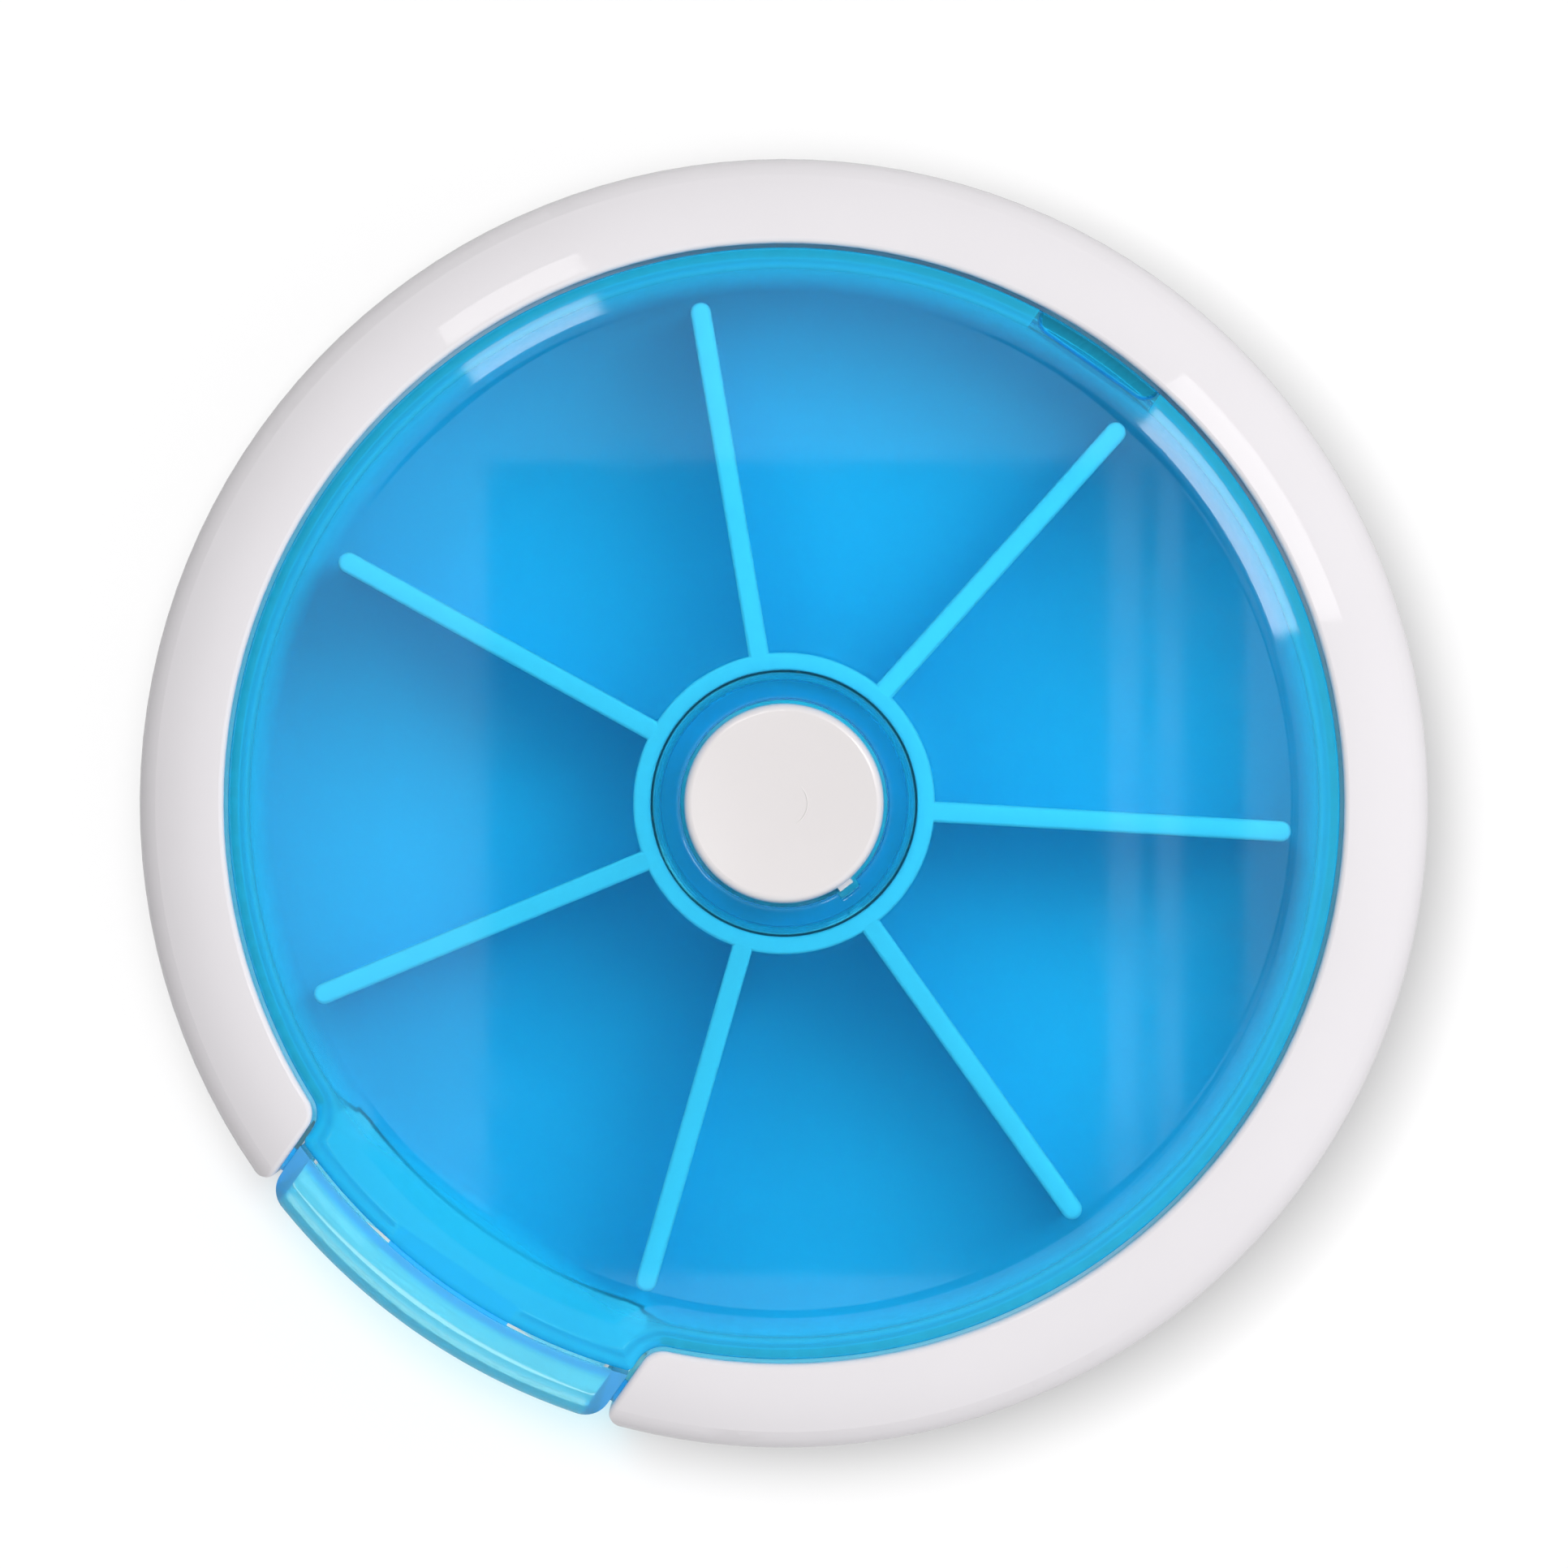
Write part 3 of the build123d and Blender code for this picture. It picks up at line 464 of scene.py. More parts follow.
case_screw_circle = 40.1
case_screw_angles = (40.0, 140.0, 205.0, 335.0)
screw_head_bottom = 0.5
screw_head_top = 1.6
screw_head_radius = 1.9
screw_tip = 9.6
screw_head_flat = 1.45
screw_head_crown = 0.4
screw_head_edge = 0.12
cross_half_length = 1.1
cross_half_width = 0.25
cross_floor = 1.2
thread_start = 1.9
thread_end = 9.0
thread_crest = 1.0
thread_root = 0.78
thread_pitch = 0.8
thread_step = 0.1
screw_sides = 32
screw_turns = [2 * math.pi * k / screw_sides for k in range(screw_sides)]


def screw_ring(radius, height, thread=0.0):
    """A ring of points round a screw; thread is how far its ridge rises out of the core."""
    ring = []
    for turn in screw_turns:
        along = (height / thread_pitch - turn / (2 * math.pi)) % 1.0
        ridge = 1.0 - abs(2.0 * along - 1.0)
        reach = radius + thread * ridge**1.5
        ring.append((reach * math.cos(turn), reach * math.sin(turn), height))
    return ring


screw_rings = [screw_ring(r, screw_head_bottom) for r in (0.0, 0.5, 1.0, screw_head_flat)]
for k in range(1, 6):
    t = math.pi / 2 * k / 5
    reach = screw_head_flat + (screw_head_radius - screw_head_flat) * math.sin(t)
    screw_rings.append(screw_ring(reach, screw_head_bottom + screw_head_crown * (1 - math.cos(t))))
screw_rings.append(screw_ring(screw_head_radius, screw_head_top - screw_head_edge))
screw_rings.append(screw_ring(screw_head_radius - screw_head_edge, screw_head_top))
screw_rings.append(screw_ring(1.05, screw_head_top))
screw_rings.append(screw_ring(thread_root, screw_head_top + screw_head_edge))
thread_rows = round((thread_end - thread_start) / thread_step)
for k in range(thread_rows + 1):
    height = thread_start + thread_step * k
    fade = min(1.0, k / 4, (thread_rows - k) / 8)
    screw_rings.append(screw_ring(thread_root, height, (thread_crest - thread_root) * fade))
for radius, height in ((0.70, 9.2), (0.45, 9.45), (0.2, screw_tip), (0.0, screw_tip)):
    screw_rings.append(screw_ring(radius, height))
screw = placed("screw", mesh_from_loops("screw", screw_rings), plated_steel)
for turn in (0.0, math.pi / 2):
    arm = []
    for side, edge in ((-1, -1), (1, -1), (1, 1), (-1, 1)):
        x, y = side * cross_half_length, edge * cross_half_width
        arm.append((x * math.cos(turn) - y * math.sin(turn), x * math.sin(turn) + y * math.cos(turn)))
    screw = cut_away(screw, prism("recess_arm", arm, 0.0, cross_floor, plated_steel))
shade(screw, 35)


def node_group(name, sockets):
    """A new tree of geometry nodes with a geometry output and named inputs of the types given."""
    group = bpy.data.node_groups.new(name, "GeometryNodeTree")
    group.interface.new_socket(name="Geometry", in_out="OUTPUT", socket_type="NodeSocketGeometry")
    for label, kind in sockets:
        group.interface.new_socket(name=label, in_out="INPUT", socket_type=kind)
    start = group.nodes.new("NodeGroupInput")
    end = group.nodes.new("NodeGroupOutput")
    return group, start, end


def grown(name, group, values, mesh):
    """An object whose mesh is what a tree of geometry nodes makes, with its inputs set by their identifiers."""
    ob = bpy.data.objects.new(name, mesh)
    bpy.context.scene.collection.objects.link(ob)
    maker = ob.modifiers.new(name, "NODES")
    maker.node_group = group
    for item in group.interface.items_tree:
        if item.in_out == "INPUT" and item.name in values:
            maker[item.identifier] = values[item.name]
    return applied(ob)


def finish_tree(group, start, end, instances):
    """Ends a tree: its instances made real, and given the finish."""
    real = group.nodes.new("GeometryNodeRealizeInstances")
    coat = group.nodes.new("GeometryNodeSetMaterial")
    group.links.new(instances, real.inputs["Geometry"])
    group.links.new(real.outputs[0], coat.inputs["Geometry"])
    group.links.new(start.outputs["Finish"], coat.inputs["Material"])
    group.links.new(coat.outputs[0], end.inputs[0])


group, start, end = node_group("screws_in_bosses", [
    ("Spots", "NodeSocketGeometry"), ("Screw", "NodeSocketObject"),
    ("Seed", "NodeSocketInt"), ("Finish", "NodeSocketMaterial"),
])
shape = group.nodes.new("GeometryNodeObjectInfo")
where = group.nodes.new("GeometryNodeInstanceOnPoints")
chance = group.nodes.new("FunctionNodeRandomValue")
chance.data_type = "FLOAT"
next(s for s in chance.inputs if s.name == "Max" and s.type == "VALUE").default_value = math.pi
turn_about = group.nodes.new("ShaderNodeCombineXYZ")
heading = group.nodes.new("FunctionNodeEulerToRotation")
group.links.new(start.outputs["Spots"], where.inputs["Points"])
group.links.new(start.outputs["Screw"], shape.inputs["Object"])
group.links.new(shape.outputs["Geometry"], where.inputs["Instance"])
group.links.new(start.outputs["Seed"], chance.inputs["Seed"])
group.links.new([o for o in chance.outputs if o.type == "VALUE"][0], turn_about.inputs["Z"])
group.links.new(turn_about.outputs[0], heading.inputs[0])
group.links.new(heading.outputs[0], where.inputs["Rotation"])
finish_tree(group, start, end, where.outputs[0])
spots = bpy.data.meshes.new("case_screw_spots")
spot_points = []
for angle in case_screw_angles:
    x, y = on_circle((0.0, 0.0), case_screw_circle, math.radians(angle))
    spot_points.append((x * mm, y * mm, 0.0))
spots.from_pydata(spot_points, [], [])
case_screws = grown(
    "case_screws_threaded", group, {"Screw": screw, "Seed": 4, "Finish": plated_steel}, spots
)
bpy.data.objects.remove(screw, do_unlink=True)
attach(case_screws, "case")
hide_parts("case_screws")


# The return spring: a coil of drawn spring wire with open ends. It stands on the washer and goes round the peg
# inside the button. The real spring shortens by the button's travel; this coil is built at one length.
spring_radius = 3.3 * mm
spring_wire = 0.45 * mm
spring_turns = 5.5
spring_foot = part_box("return_spring")[0][2]
spring_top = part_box("return_spring")[1][2]
group, start, end = node_group("wire_coil", [
    ("Turns", "NodeSocketFloat"), ("Coil radius", "NodeSocketFloat"), ("Height", "NodeSocketFloat"),
    ("Foot", "NodeSocketFloat"), ("Wire radius", "NodeSocketFloat"), ("Finish", "NodeSocketMaterial"),
])
coil = group.nodes.new("GeometryNodeCurveSpiral")
coil.inputs["Resolution"].default_value = 40
wire = group.nodes.new("GeometryNodeCurvePrimitiveCircle")
wire.inputs["Resolution"].default_value = 12
drawn = group.nodes.new("GeometryNodeCurveToMesh")
drawn.inputs["Fill Caps"].default_value = True
lift = group.nodes.new("ShaderNodeCombineXYZ")
stand = group.nodes.new("GeometryNodeTransform")
group.links.new(start.outputs["Turns"], coil.inputs["Rotations"])
group.links.new(start.outputs["Coil radius"], coil.inputs["Start Radius"])
group.links.new(start.outputs["Coil radius"], coil.inputs["End Radius"])
group.links.new(start.outputs["Height"], coil.inputs["Height"])
group.links.new(start.outputs["Wire radius"], wire.inputs["Radius"])
group.links.new(coil.outputs[0], drawn.inputs["Curve"])
group.links.new(wire.outputs[0], drawn.inputs["Profile Curve"])
group.links.new(start.outputs["Foot"], lift.inputs["Z"])
group.links.new(drawn.outputs[0], stand.inputs["Geometry"])
group.links.new(lift.outputs[0], stand.inputs["Translation"])
finish_tree(group, start, end, stand.outputs[0])
coil_height = spring_top - spring_foot - spring_wire
spring = grown("return_spring_coil", group, {
    "Turns": spring_turns, "Coil radius": spring_radius, "Height": coil_height,
    "Foot": spring_foot + spring_wire / 2, "Wire radius": spring_wire / 2, "Finish": spring_steel,
}, bpy.data.meshes.new("return_spring_coil"))
tidy_mesh(spring.data)
shade(spring, 40)
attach(spring, "case")
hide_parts("return_spring")
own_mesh(spring)


# The drive: sleeve and pawl ring, moulded in a slippery unpigmented plastic. The sleeve turns on the base's
# post, and the pawl ring is keyed to its hub. Their shapes are the frame's own.
acetal = plastic("acetal", (0.80, 0.79, 0.75), 0.38, mottle=0.03, grain=0.03)
finish_node("drive_sleeve", acetal)
finish_node("pawl_ring", acetal)


# The tray: one moulding in pale sky-blue plastic. It turns on the base's thrust ring and round its journal. Its
# floor is painted a deeper blue than the tops of its dividers, as painted shade that grows towards the bottom
# of the compartments.
def own_place(tree):
    """The object's own coordinates: apart, flat in plan, and as the distance from the upright axis."""
    place = tree.nodes.new("ShaderNodeTexCoord")
    split = tree.nodes.new("ShaderNodeSeparateXYZ")
    plan = tree.nodes.new("ShaderNodeVectorMath")
    plan.operation = "MULTIPLY"
    plan.inputs[1].default_value = (1.0, 1.0, 0.0)
    reach = tree.nodes.new("ShaderNodeVectorMath")
    reach.operation = "LENGTH"
    tree.links.new(place.outputs["Object"], split.inputs[0])
    tree.links.new(place.outputs["Object"], plan.inputs[0])
    tree.links.new(plan.outputs[0], reach.inputs[0])
    return split.outputs, plan.outputs[0], reach.outputs["Value"]


def shader_of(tree):
    """The tree's main shader."""
    return next(node for node in tree.nodes if node.type == "BSDF_PRINCIPLED")


compartments = 7
wheel_radius = 36.1
wheel_bottom = 3.2
wheel_floor = 4.4
hub_inner = 9.03
hub_outer = 10.28
hub_middle = 9.65
wheel_top = 22.9
bearing_inner = 5.28
bearing_outer = 6.58
bearing_top = 6.6
wheel_steps = 280
# Painted shade: the floor colour is a deeper blue than the plastic, mixed in darker towards the bottom.
tray_floor_painted_shade = (0.10, 0.60, 0.87)
tray_top_colour = (0.78, 0.86, 0.95)
tray_plastic = plastic("tray_plastic", tray_top_colour, 0.35)
tree = tray_plastic.node_tree
along, plan, reach = own_place(tree)
depth = mapped(tree, along["Z"], wheel_floor * mm, wheel_top * mm, 0.0, 1.0, "SMOOTHSTEP")
base_colour = shader_of(tree).inputs["Base Color"]
tree.links.new(mixed(tree, depth, tray_floor_painted_shade, base_colour.links[0].from_socket), base_colour)


def rounded(corner, start_angle, end_angle, radius, steps=5):
    """Points of a small round at a corner of a turned profile, as radius and height."""
    points = []
    for k in range(steps + 1):
        t = math.radians(start_angle + (end_angle - start_angle) * k / steps)
        points.append((corner[0] + radius * math.cos(t), corner[1] + radius * math.sin(t)))
    return points


def turned_mesh(name, profile, steps):
    """A closed profile of radius and height, turned round the axis."""
    loops = []
    for radius, height in profile:
        ring = []
        for k in range(steps):
            x, y = on_circle((0.0, 0.0), radius, 2 * math.pi * k / steps)
            ring.append((x, y, height))
        loops.append(ring)
    return mesh_from_loops(name, loops)


profile = rounded((wheel_radius - 0.2, wheel_bottom + 0.2), -90, 0, 0.2)
profile += rounded((wheel_radius - 0.1, wheel_floor - 0.1), 0, 90, 0.1)
profile += [(28.0, wheel_floor), (20.0, wheel_floor), (14.0, wheel_floor)]
profile += rounded((hub_outer + 0.5, wheel_floor + 0.5), 270, 180, 0.5)
profile += rounded((hub_outer - 0.25, wheel_top - 0.25), 0, 90, 0.25)
profile += rounded((hub_inner + 0.2, wheel_top - 0.2), 90, 180, 0.2)
profile += rounded((hub_inner - 0.3, wheel_floor + 0.3), 0, -90, 0.3)
profile += rounded((bearing_outer + 0.3, wheel_floor + 0.3), 270, 180, 0.3)
profile += rounded((bearing_outer - 0.15, bearing_top - 0.15), 0, 90, 0.15)
profile += rounded((bearing_inner + 0.15, bearing_top - 0.15), 90, 180, 0.15)
profile += rounded((bearing_inner + 0.15, wheel_bottom + 0.15), 180, 270, 0.15)
profile += [(14.0, wheel_bottom), (24.0, wheel_bottom), (30.0, wheel_bottom)]
wheel = placed("tray_wheel", turned_mesh("tray_wheel", profile, wheel_steps), tray_plastic)

divider_half = 0.7
divider_end = 34.6
divider_foot = 3.8
divider_crest = 22.88
divider_round = 0.3
divider_end_steps = 12
loops = []
insets = [(0.0, divider_foot)]
for k in range(5):
    t = math.pi / 2 * k / 4
    insets.append((divider_round * (1 - math.cos(t)), divider_crest - divider_round * (1 - math.sin(t))))
for inset, height in insets:
    reach = divider_half - inset
    loop = [(hub_middle, reach, height), (hub_middle, -reach, height)]
    for k in range(divider_end_steps + 1):
        angle = math.radians(-90 + 180 * k / divider_end_steps)
        x, y = on_circle((divider_end - divider_half, 0.0), reach, angle)
        loop.append((x, y, height))
    loops.append(loop)
divider = stacked("divider", loops, tray_plastic)

tooth_tip = 7.9
tooth_span = 35.0
tooth_low = 7.0
tooth_high = 9.2
tooth_steps = 12
tooth_outline = []
for k in range(tooth_steps + 1):
    tooth_outline.append(on_circle((0.0, 0.0), hub_middle, math.radians(tooth_span * k / tooth_steps)))
for k in range(tooth_steps, -1, -1):
    share = k / tooth_steps
    reach = tooth_tip + (hub_middle - 0.3 - tooth_tip) * share
    tooth_outline.append(on_circle((0.0, 0.0), reach, math.radians(tooth_span * share)))
tooth = prism("tooth", tooth_outline, tooth_low, tooth_high, tray_plastic)

index_reach = 24.0
index_axis = 2.1
index_round = 1.6
index_half = 2.8
groove_sides = 32
groove_outline = [on_circle((0.0, index_axis), index_round, a) for a in spaced(0.0, 2 * math.pi, groove_sides)]
groove_ends = (index_reach - index_half, index_reach + index_half)
groove_loops = [[(x, y, z) for x, z in groove_outline] for y in groove_ends]
groove = stacked("index_groove", groove_loops, tray_plastic)

group, start, end = node_group("round_the_hub", [
    ("Piece", "NodeSocketObject"), ("Count", "NodeSocketInt"),
    ("First turn", "NodeSocketFloat"), ("Finish", "NodeSocketMaterial"),
])
shape = group.nodes.new("GeometryNodeObjectInfo")
points_node = group.nodes.new("GeometryNodePoints")
where = group.nodes.new("GeometryNodeInstanceOnPoints")
order = group.nodes.new("GeometryNodeInputIndex")
whole = group.nodes.new("ShaderNodeMath")
whole.operation = "DIVIDE"
whole.inputs[0].default_value = 2 * math.pi
step = group.nodes.new("ShaderNodeMath")
step.operation = "MULTIPLY_ADD"
turn_about = group.nodes.new("ShaderNodeCombineXYZ")
heading = group.nodes.new("FunctionNodeEulerToRotation")
group.links.new(start.outputs["Count"], points_node.inputs["Count"])
group.links.new(start.outputs["Count"], whole.inputs[1])
group.links.new(order.outputs[0], step.inputs[0])
group.links.new(whole.outputs[0], step.inputs[1])
group.links.new(start.outputs["First turn"], step.inputs[2])
group.links.new(step.outputs[0], turn_about.inputs["Z"])
group.links.new(turn_about.outputs[0], heading.inputs[0])
group.links.new(start.outputs["Piece"], shape.inputs["Object"])
group.links.new(points_node.outputs[0], where.inputs["Points"])
group.links.new(shape.outputs["Geometry"], where.inputs["Instance"])
group.links.new(heading.outputs[0], where.inputs["Rotation"])
finish_tree(group, start, end, where.outputs[0])


def round_the_hub(name, piece, first):
    """Seven of a piece round the axis, as one plain mesh. The single piece is deleted."""
    values = {"Piece": piece, "Count": compartments, "First turn": math.radians(first), "Finish": tray_plastic}
    ob = grown(name, group, values, bpy.data.meshes.new(name))
    bpy.data.objects.remove(piece, do_unlink=True)
    return ob


first_divider_angle = 83.2
first_tooth_angle = 20.0
first_notch_angle = 0.0
wheel = cut_away(wheel, round_the_hub("dividers", divider, first_divider_angle), "UNION")
wheel = cut_away(wheel, round_the_hub("teeth", tooth, first_tooth_angle), "UNION")
wheel = cut_away(wheel, round_the_hub("index_grooves", groove, first_notch_angle))
shade(wheel, 32)
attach(wheel, "tray")
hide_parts("tray")


# The button: moulded white cap, polished, with a shallow dish and a faint gate mark at its middle. It slides in
# the lid's collar, and its flange under the collar holds it. Its shape is the frame's own.
button_white = plastic("button_white", (0.85, 0.825, 0.82), 0.20)
gate_mark_radius = 1.6 * mm
gate_mark_width = 0.07 * mm
gate_mark_height = 0.03 * mm
gate_mark_side = direction(-10.0, 90.0)
gate_mark_ends = (0.5 * gate_mark_radius, 0.9 * gate_mark_radius)
tree = button_white.node_tree
along, plan, reach = own_place(tree)
off = calculated(tree, "ABSOLUTE", calculated(tree, "SUBTRACT", reach, gate_mark_radius))
line = mapped(tree, off, gate_mark_width, 0.0, 0.0, 1.0, "SMOOTHSTEP")
side = tree.nodes.new("ShaderNodeVectorMath")
side.operation = "DOT_PRODUCT"
side.inputs[1].default_value = gate_mark_side
tree.links.new(plan, side.inputs[0])
arc = mapped(tree, side.outputs["Value"], *gate_mark_ends, 0.0, 1.0, "SMOOTHSTEP")
ridge = calculated(tree, "MULTIPLY", line, arc)
normal = shader_of(tree).inputs["Normal"]
tree.links.new(bumped(tree, ridge, 1.0, gate_mark_height, normal.links[0].from_socket), normal)
finish_node("button", button_white)


# The lid: one moulding in clear styrene tinted in the mass, with a domed top, a broad rounded shoulder, a skirt
# that stands on the ring's ledge, a flare to the outlet, a collar tube round the button and a nail recess. It
# lifts off for filling.
def tinted_clear(name, absorbed_colour, density, roughness, ripple, milk, milk_colour):
    """Clear plastic tinted in the mass, with a trace of milk. Lamps shine through it, tinted by its depth."""
    material, tree, output = node_tree(name)
    body = tree.nodes.new("ShaderNodeBsdfPrincipled")
    body.inputs["Base Color"].default_value = (1.0, 1.0, 1.0, 1.0)
    body.inputs["Transmission Weight"].default_value = 1.0
    body.inputs["IOR"].default_value = 1.5
    gloss = mapped(tree, noise(tree, 240.0, 6.0), 0.45, 0.85, roughness, roughness * 2.5)
    tree.links.new(gloss, body.inputs["Roughness"])
    tree.links.new(bumped(tree, noise(tree, 45.0, 1.0), ripple, 0.3 * mm), body.inputs["Normal"])
    cloud = tree.nodes.new("ShaderNodeBsdfDiffuse")
    cloud.inputs["Color"].default_value = (*milk_colour, 1.0)
    milky = tree.nodes.new("ShaderNodeMixShader")
    milky.inputs[0].default_value = milk
    tree.links.new(body.outputs[0], milky.inputs[1])
    tree.links.new(cloud.outputs[0], milky.inputs[2])
    lamps = tree.nodes.new("ShaderNodeBsdfTransparent")
    lamps.inputs["Color"].default_value = (0.95, 0.95, 0.95, 1.0)
    path = tree.nodes.new("ShaderNodeLightPath")
    choose = tree.nodes.new("ShaderNodeMixShader")
    choose.label = "lamps or eye"
    tree.links.new(path.outputs["Is Shadow Ray"], choose.inputs[0])
    tree.links.new(milky.outputs[0], choose.inputs[1])
    tree.links.new(lamps.outputs[0], choose.inputs[2])
    tree.links.new(choose.outputs[0], output.inputs["Surface"])
    tint = tree.nodes.new("ShaderNodeVolumeAbsorption")
    tint.inputs["Color"].default_value = (*absorbed_colour, 1.0)
    tint.inputs["Density"].default_value = density
    tree.links.new(tint.outputs[0], output.inputs["Volume"])
    return material


lid_radius = 37.85
lid_front = 40.05
lid_half = 13.6
lid_corner = 0.5
flare_centre_x = 15.6
flare_centre_distance = 39.85
lid_rim = 25.4
lid_under = 23.8
lid_dome_radius = 34.7
lid_dome_rise = 0.8
lid_band = 2.95
lid_band_lean = (2.2, 13.5)
lid_edge = 0.55
lid_skirt = 0.95
lid_foot = 22.4
collar_bore = 7.05
collar_outer = 8.4
collar_foot = 20.4
key_turn = -18.0
key_groove_half = 0.75
key_groove_depth = 0.5
lid_inner_round = 0.5
lid_foot_round = 0.12
collar_top_round = 0.25
collar_foot_round = 0.15
dome_radii = (9.6, 11, 13, 16, 19, 22, 25, 28, 30.5, 32.5, 33.8, 34.4, lid_dome_radius)


def lid_outline(inset):
    """Plan of the lid drawn in by a distance: the big circle, the flare's sides and its front."""
    radius = lid_radius - inset
    front = lid_front - inset
    half = lid_half - inset
    hollow = flare_centre_x - half
    centre_y = -math.sqrt(flare_centre_distance**2 - flare_centre_x**2)
    centre = (flare_centre_x, centre_y)
    towards = math.atan2(-centre_y, -flare_centre_x)
    corner_round = max(lid_corner - inset, 0.0)
    corner_x = half - corner_round
    corner_y = -math.sqrt((front - corner_round) ** 2 - corner_x**2)
    side_ends = 180.0
    if corner_y > centre_y:
        gap = flare_centre_distance
        along = (gap**2 + hollow**2 - front**2) / (2 * gap)
        lift = math.sqrt(max(hollow**2 - along**2, 0.0))
        meet = towards + math.atan2(lift, along)
        side_ends = math.degrees(meet)
        corner_x, corner_y = on_circle(centre, hollow, meet)
        corner_round = 0.0
    side_start = on_circle(centre, hollow, math.radians(side_ends))
    circle_start = math.degrees(math.atan2(centre_y, flare_centre_x))
    front_start = math.degrees(math.atan2(corner_y, corner_x))
    points = []
    for a in spaced(circle_start, 180 - circle_start, 560):
        points.append(on_circle((0, 0), radius, math.radians(a)))
    right = []
    for a in spaced(front_start, 0.0, 8):
        right.append(on_circle((corner_x, corner_y), corner_round, math.radians(a)))
    side_low = (corner_x + corner_round, corner_y)
    for t in spaced(0.0, 1.0, 8):
        right.append(
            (side_low[0] + (side_start[0] - side_low[0]) * t, side_low[1] + (side_start[1] - side_low[1]) * t)
        )
    for a in spaced(side_ends, math.degrees(towards), 16):
        right.append(on_circle(centre, hollow, math.radians(a)))
    right.append(on_circle((0, 0), radius, math.radians(circle_start)))
    left = [(-x, y) for x, y in reversed(right)]
    points += left[:-1]
    for a in spaced(180 - front_start - 360, front_start, 96):
        points.append(on_circle((0, 0), front, math.radians(a)))
    points += right[:-1]
    return np.array(points)


def ring_at(outline, height):
    """A ring of points at one height."""
    return np.column_stack([outline, np.full(len(outline), height)])


def quarter(count):
    """Angles of a quarter turn, both ends included, in radians."""
    return [math.radians(90.0 * k / count) for k in range(count + 1)]


widest = lid_outline(lid_band)
headings = np.arctan2(widest[:, 1], widest[:, 0])
key_side = np.abs((np.degrees(headings) - key_turn + 180.0) % 360.0 - 180.0)
key_half_angle = math.degrees(math.asin(key_groove_half / collar_bore))
in_groove = np.clip((key_half_angle - key_side) / 0.6 + 0.5, 0.0, 1.0)


def round_ring(radius, height, groove=0.0):
    """A circle of points on the lid's headings; groove is the share of the key groove it takes."""
    reach = radius + key_groove_depth * groove * in_groove
    return np.column_stack([reach * np.cos(headings), reach * np.sin(headings), np.full(len(headings), height)])


def domed(base, radius):
    """Height of the dome over a base height."""
    return base + lid_dome_rise * (1 - (radius / lid_dome_radius) ** 2)


rings = []
bore_top = domed(lid_rim, collar_bore)
for t in quarter(4):
    reach = collar_bore + collar_top_round * (1 - math.cos(t))
    rings.append(round_ring(reach, bore_top - collar_top_round * (1 - math.sin(t)), 1.0))
for radius, share in ((7.5, 0.85), (7.8, 0.5), (8.2, 0.15), (8.8, 0.0)):
    rings.append(round_ring(radius, domed(lid_rim, radius), share))
for radius in dome_radii:
    rings.append(round_ring(radius, domed(lid_rim, radius)))
band_height = lid_rim
rings.append(ring_at(lid_outline(lid_band), band_height))
band_steps = 10
band_step = (lid_band - lid_edge) / band_steps
for k in range(band_steps):
    lean = lid_band_lean[0] + (lid_band_lean[1] - lid_band_lean[0]) * (k + 0.5) / band_steps
    band_height -= band_step * math.tan(math.radians(lean))
    rings.append(ring_at(lid_outline(lid_band - band_step * (k + 1)), band_height))
edge_start = math.radians(lid_band_lean[1] + 4.0)
edge_height = band_height - lid_edge * math.cos(edge_start)
edge_reach = lid_edge * math.sin(edge_start)
for k in range(1, 9):
    t = edge_start + (math.pi / 2 - edge_start) * k / 8
    share = (lid_edge * math.sin(t) - edge_reach) / (lid_edge - edge_reach)
    rings.append(ring_at(lid_outline(lid_edge * (1 - share)), edge_height + lid_edge * math.cos(t)))
rings.append(ring_at(lid_outline(0.0), 22.6))
for t in quarter(3):
    inset = lid_foot_round * (1 - math.cos(t))
    rings.append(ring_at(lid_outline(inset), lid_foot + lid_foot_round * (1 - math.sin(t))))
for t in quarter(3):
    inset = lid_skirt - lid_foot_round * (1 - math.sin(t))
    rings.append(ring_at(lid_outline(inset), lid_foot + lid_foot_round * (1 - math.cos(t))))
for t in quarter(6):
    inset = lid_skirt + lid_inner_round * (1 - math.cos(t))
    rings.append(ring_at(lid_outline(inset), lid_under - lid_inner_round * (1 - math.sin(t))))
rings.append(ring_at(lid_outline(lid_band), lid_under))
for radius in reversed(dome_radii):
    rings.append(round_ring(radius, domed(lid_under, radius)))
collar_root = domed(lid_under, collar_outer + lid_inner_round)
for t in quarter(5):
    reach = collar_outer + lid_inner_round * (1 - math.sin(t))
    rings.append(round_ring(reach, collar_root - lid_inner_round * (1 - math.cos(t))))
for t in quarter(3):
    reach = collar_outer - collar_foot_round * (1 - math.cos(t))
    rings.append(round_ring(reach, collar_foot + collar_foot_round * (1 - math.sin(t))))
rings.append(round_ring(7.9, collar_foot, 0.5))
rings.append(round_ring(7.25, collar_foot, 1.0))
rings.append(round_ring(collar_bore, collar_foot + collar_foot_round, 1.0))

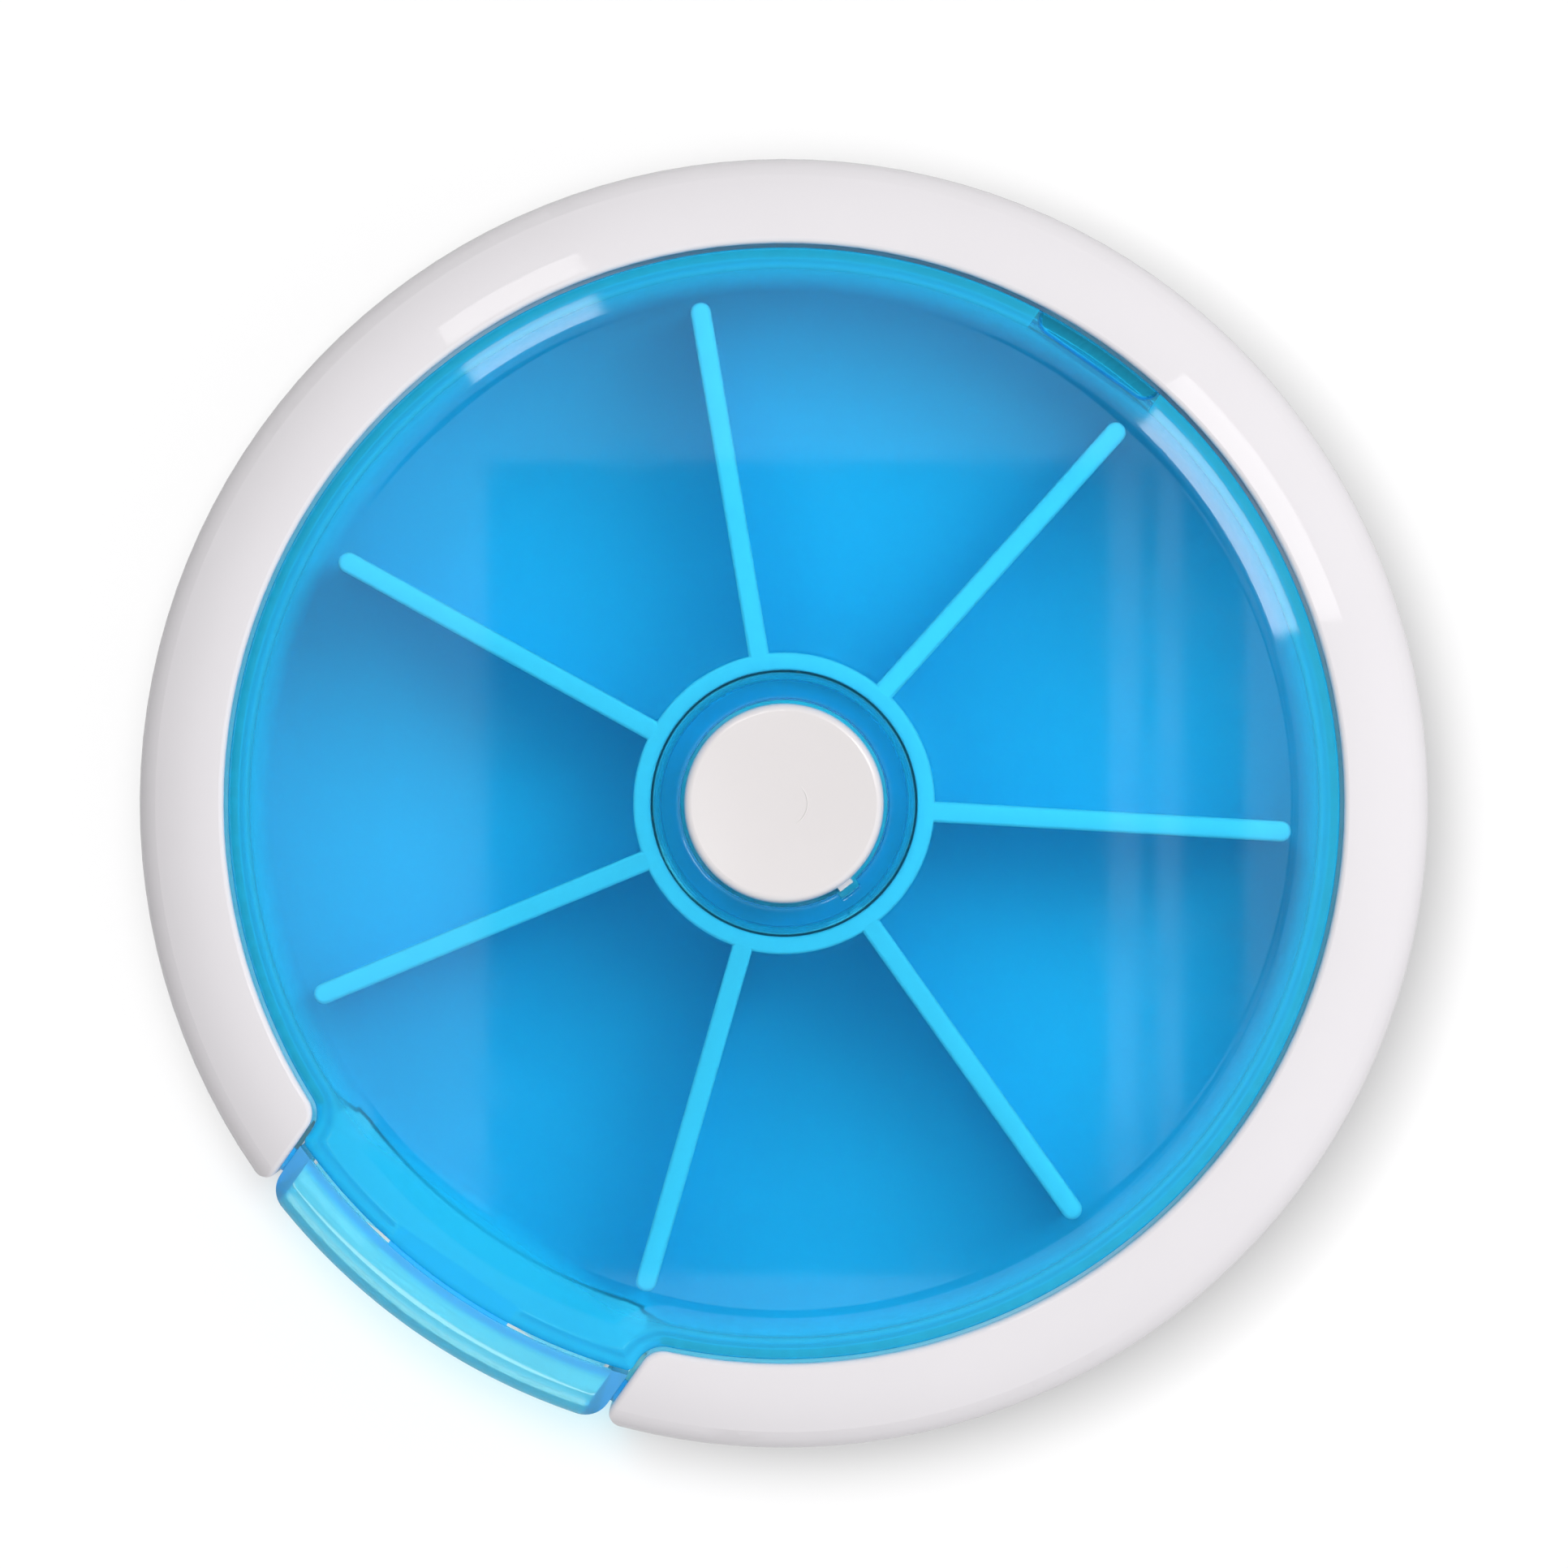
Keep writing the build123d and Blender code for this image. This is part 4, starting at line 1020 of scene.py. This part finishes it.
lid_blue = tinted_clear(
    "lid_blue", (0.0, 0.885, 0.978), density=860.0, roughness=0.03, ripple=0.015,
    milk=0.05, milk_colour=(0.10, 0.45, 0.70)
)
# Painted light: a lit cyan share is mixed into the clear plastic over the flare, the rim band and round the
# collar, standing in for the bright light seen up through the lid there.
flare_painted_light = (-33.4 * mm, -36.0 * mm)
rim_painted_light = (34.6 * mm, 37.4 * mm)
collar_painted_light = (9.0 * mm, 8.5 * mm)
flare_painted_light_share = 0.54
rim_painted_light_share = 0.50
collar_painted_light_share = 0.16
painted_light_colour = (0.02, 0.65, 1.0)
recess_y = 36.3
recess_half = 5.0
recess_corner = 1.3
recess_painted_light_loss = 0.55
recess_line_middle = 0.14 * mm
recess_line_width = 0.20 * mm
recess_painted_shade_colour = (0.0, 0.13, 0.60)
recess_margin = 0.3
tree = lid_blue.node_tree
along, plan, reach = own_place(tree)
painted_light_level = 0.0
for source, (first, last), share in (
    (along["Y"], flare_painted_light, flare_painted_light_share),
    (reach, rim_painted_light, rim_painted_light_share),
    (reach, collar_painted_light, collar_painted_light_share),
):
    mask = mapped(tree, source, first, last, 0.0, share, "SMOOTHSTEP")
    painted_light_level = calculated(tree, "MAXIMUM", painted_light_level, mask)
near_rim = calculated(tree, "GREATER_THAN", along["Y"], (recess_y - recess_margin) * mm)
off_middle = calculated(tree, "ABSOLUTE", along["X"])
in_recess = calculated(tree, "LESS_THAN", off_middle, recess_half * mm)
in_recess = calculated(tree, "MULTIPLY", near_rim, in_recess)
# Painted shade: the nail recess keeps less of that painted light.
painted_light_kept = calculated(tree, "SUBTRACT", 1.0, calculated(tree, "MULTIPLY", in_recess, recess_painted_light_loss))
painted_light_level = calculated(tree, "MULTIPLY", painted_light_level, painted_light_kept)
glow = tree.nodes.new("ShaderNodeBsdfDiffuse")
glow.inputs["Color"].default_value = (*painted_light_colour, 1.0)
painted_light_mix = tree.nodes.new("ShaderNodeMixShader")
choose = next(node for node in tree.nodes if node.label == "lamps or eye")
tree.links.new(painted_light_level, painted_light_mix.inputs[0])
tree.links.new(choose.inputs[1].links[0].from_socket, painted_light_mix.inputs[1])
tree.links.new(glow.outputs[0], painted_light_mix.inputs[2])
tree.links.new(painted_light_mix.outputs[0], choose.inputs[1])
# Painted shade: a dark blue line painted round the nail recess's edge stands in for its wall seen dark through
# the plastic.
across = calculated(tree, "SUBTRACT", off_middle, (recess_half - recess_corner) * mm)
across = calculated(tree, "MAXIMUM", across, 0.0)
inward = calculated(tree, "SUBTRACT", (recess_y + recess_corner) * mm, along["Y"])
inward = calculated(tree, "MAXIMUM", inward, 0.0)
squares = [calculated(tree, "POWER", length, 2.0) for length in (across, inward)]
outside = calculated(tree, "SQRT", calculated(tree, "ADD", *squares))
outside = calculated(tree, "SUBTRACT", outside, recess_corner * mm)
outside = calculated(tree, "ABSOLUTE", calculated(tree, "ADD", outside, recess_line_middle))
line = mapped(tree, outside, recess_line_width, recess_line_width / 4, 0.0, 1.0, "SMOOTHSTEP")
line = calculated(tree, "MULTIPLY", line, near_rim)
tree.links.new(mixed(tree, line, (1.0, 1.0, 1.0), recess_painted_shade_colour), shader_of(tree).inputs["Base Color"])
lid = placed("lid_clear", mesh_from_loops("lid_clear", rings), lid_blue)
recess_floor = 24.5
recess_draft = 0.35


def recess_outline(inset):
    """Plan of the fingernail recess drawn in by a distance."""
    outline = []
    corner = recess_corner - inset
    middle = recess_half - recess_corner
    for x, turn in ((-middle, 180), (middle, 270)):
        for a in spaced(turn, turn + 90, 10):
            outline.append(on_circle((x, recess_y + recess_corner), corner, math.radians(a)))
        if x < 0:
            outline.append((x, recess_y + inset))
    outline.append((recess_half - inset, recess_y + recess_corner))
    return outline + [(recess_half - inset, 45.0), (inset - recess_half, 45.0)]


recess_rows = ((recess_draft, recess_floor), (0.12, 25.0), (0.0, 25.6), (0.0, 30.0))
recess_loops = [[(x, y, height) for x, y in recess_outline(inset)] for inset, height in recess_rows]
lid = cut_away(lid, stacked("nail_recess", recess_loops, lid_blue))
slot_half = 5.2
slot_edge = 37.0
slot_low = 20.0
beyond_lid = 45.0
slot = [(-slot_half, -beyond_lid), (slot_half, -beyond_lid), (slot_half, -slot_edge), (-slot_half, -slot_edge)]
lid = cut_away(lid, prism("tongue_slot", slot, slot_low, lid_under, lid_blue))
shade(lid, 32)
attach(lid, "lid")
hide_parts("lid")


# The flap: clear light-blue cover over the outlet, hinged low on two stubs, with end cheeks, an inner lip and
# a tongue that catches under the lid. One moulding.
flap_blue = tinted_clear(
    "flap_blue", (0.0, 0.930, 0.999), density=310.0, roughness=0.03, ripple=0.03,
    milk=0.36, milk_colour=(0.20, 0.82, 1.0)
)
# Painted shade: a deeper blue painted along the inner lip and the end cheeks stands in for the longer way the
# light takes through the plastic at those edges.
flap_painted_edge_shade = (0.06, 0.42, 1.0)
flap_lip_radius = (41.0 * mm, 40.7 * mm)
flap_cheek_reach = (12.35 * mm, 12.75 * mm)
tree = flap_blue.node_tree
along, plan, reach = own_place(tree)
sideways = calculated(tree, "ABSOLUTE", along["X"])
at_lip = mapped(tree, reach, *flap_lip_radius, 0.0, 1.0, "SMOOTHSTEP")
at_cheek = mapped(tree, sideways, *flap_cheek_reach, 0.0, 1.0, "SMOOTHSTEP")
painted_edge_shade = mixed(tree, calculated(tree, "MAXIMUM", at_lip, at_cheek), (1.0, 1.0, 1.0), flap_painted_edge_shade)
tree.links.new(painted_edge_shade, shader_of(tree).inputs["Base Color"])
finish_node("flap", flap_blue)

# The picture is taken as the camera sees it, with no grading.
view = bpy.context.scene.view_settings
view.view_transform = "Standard"
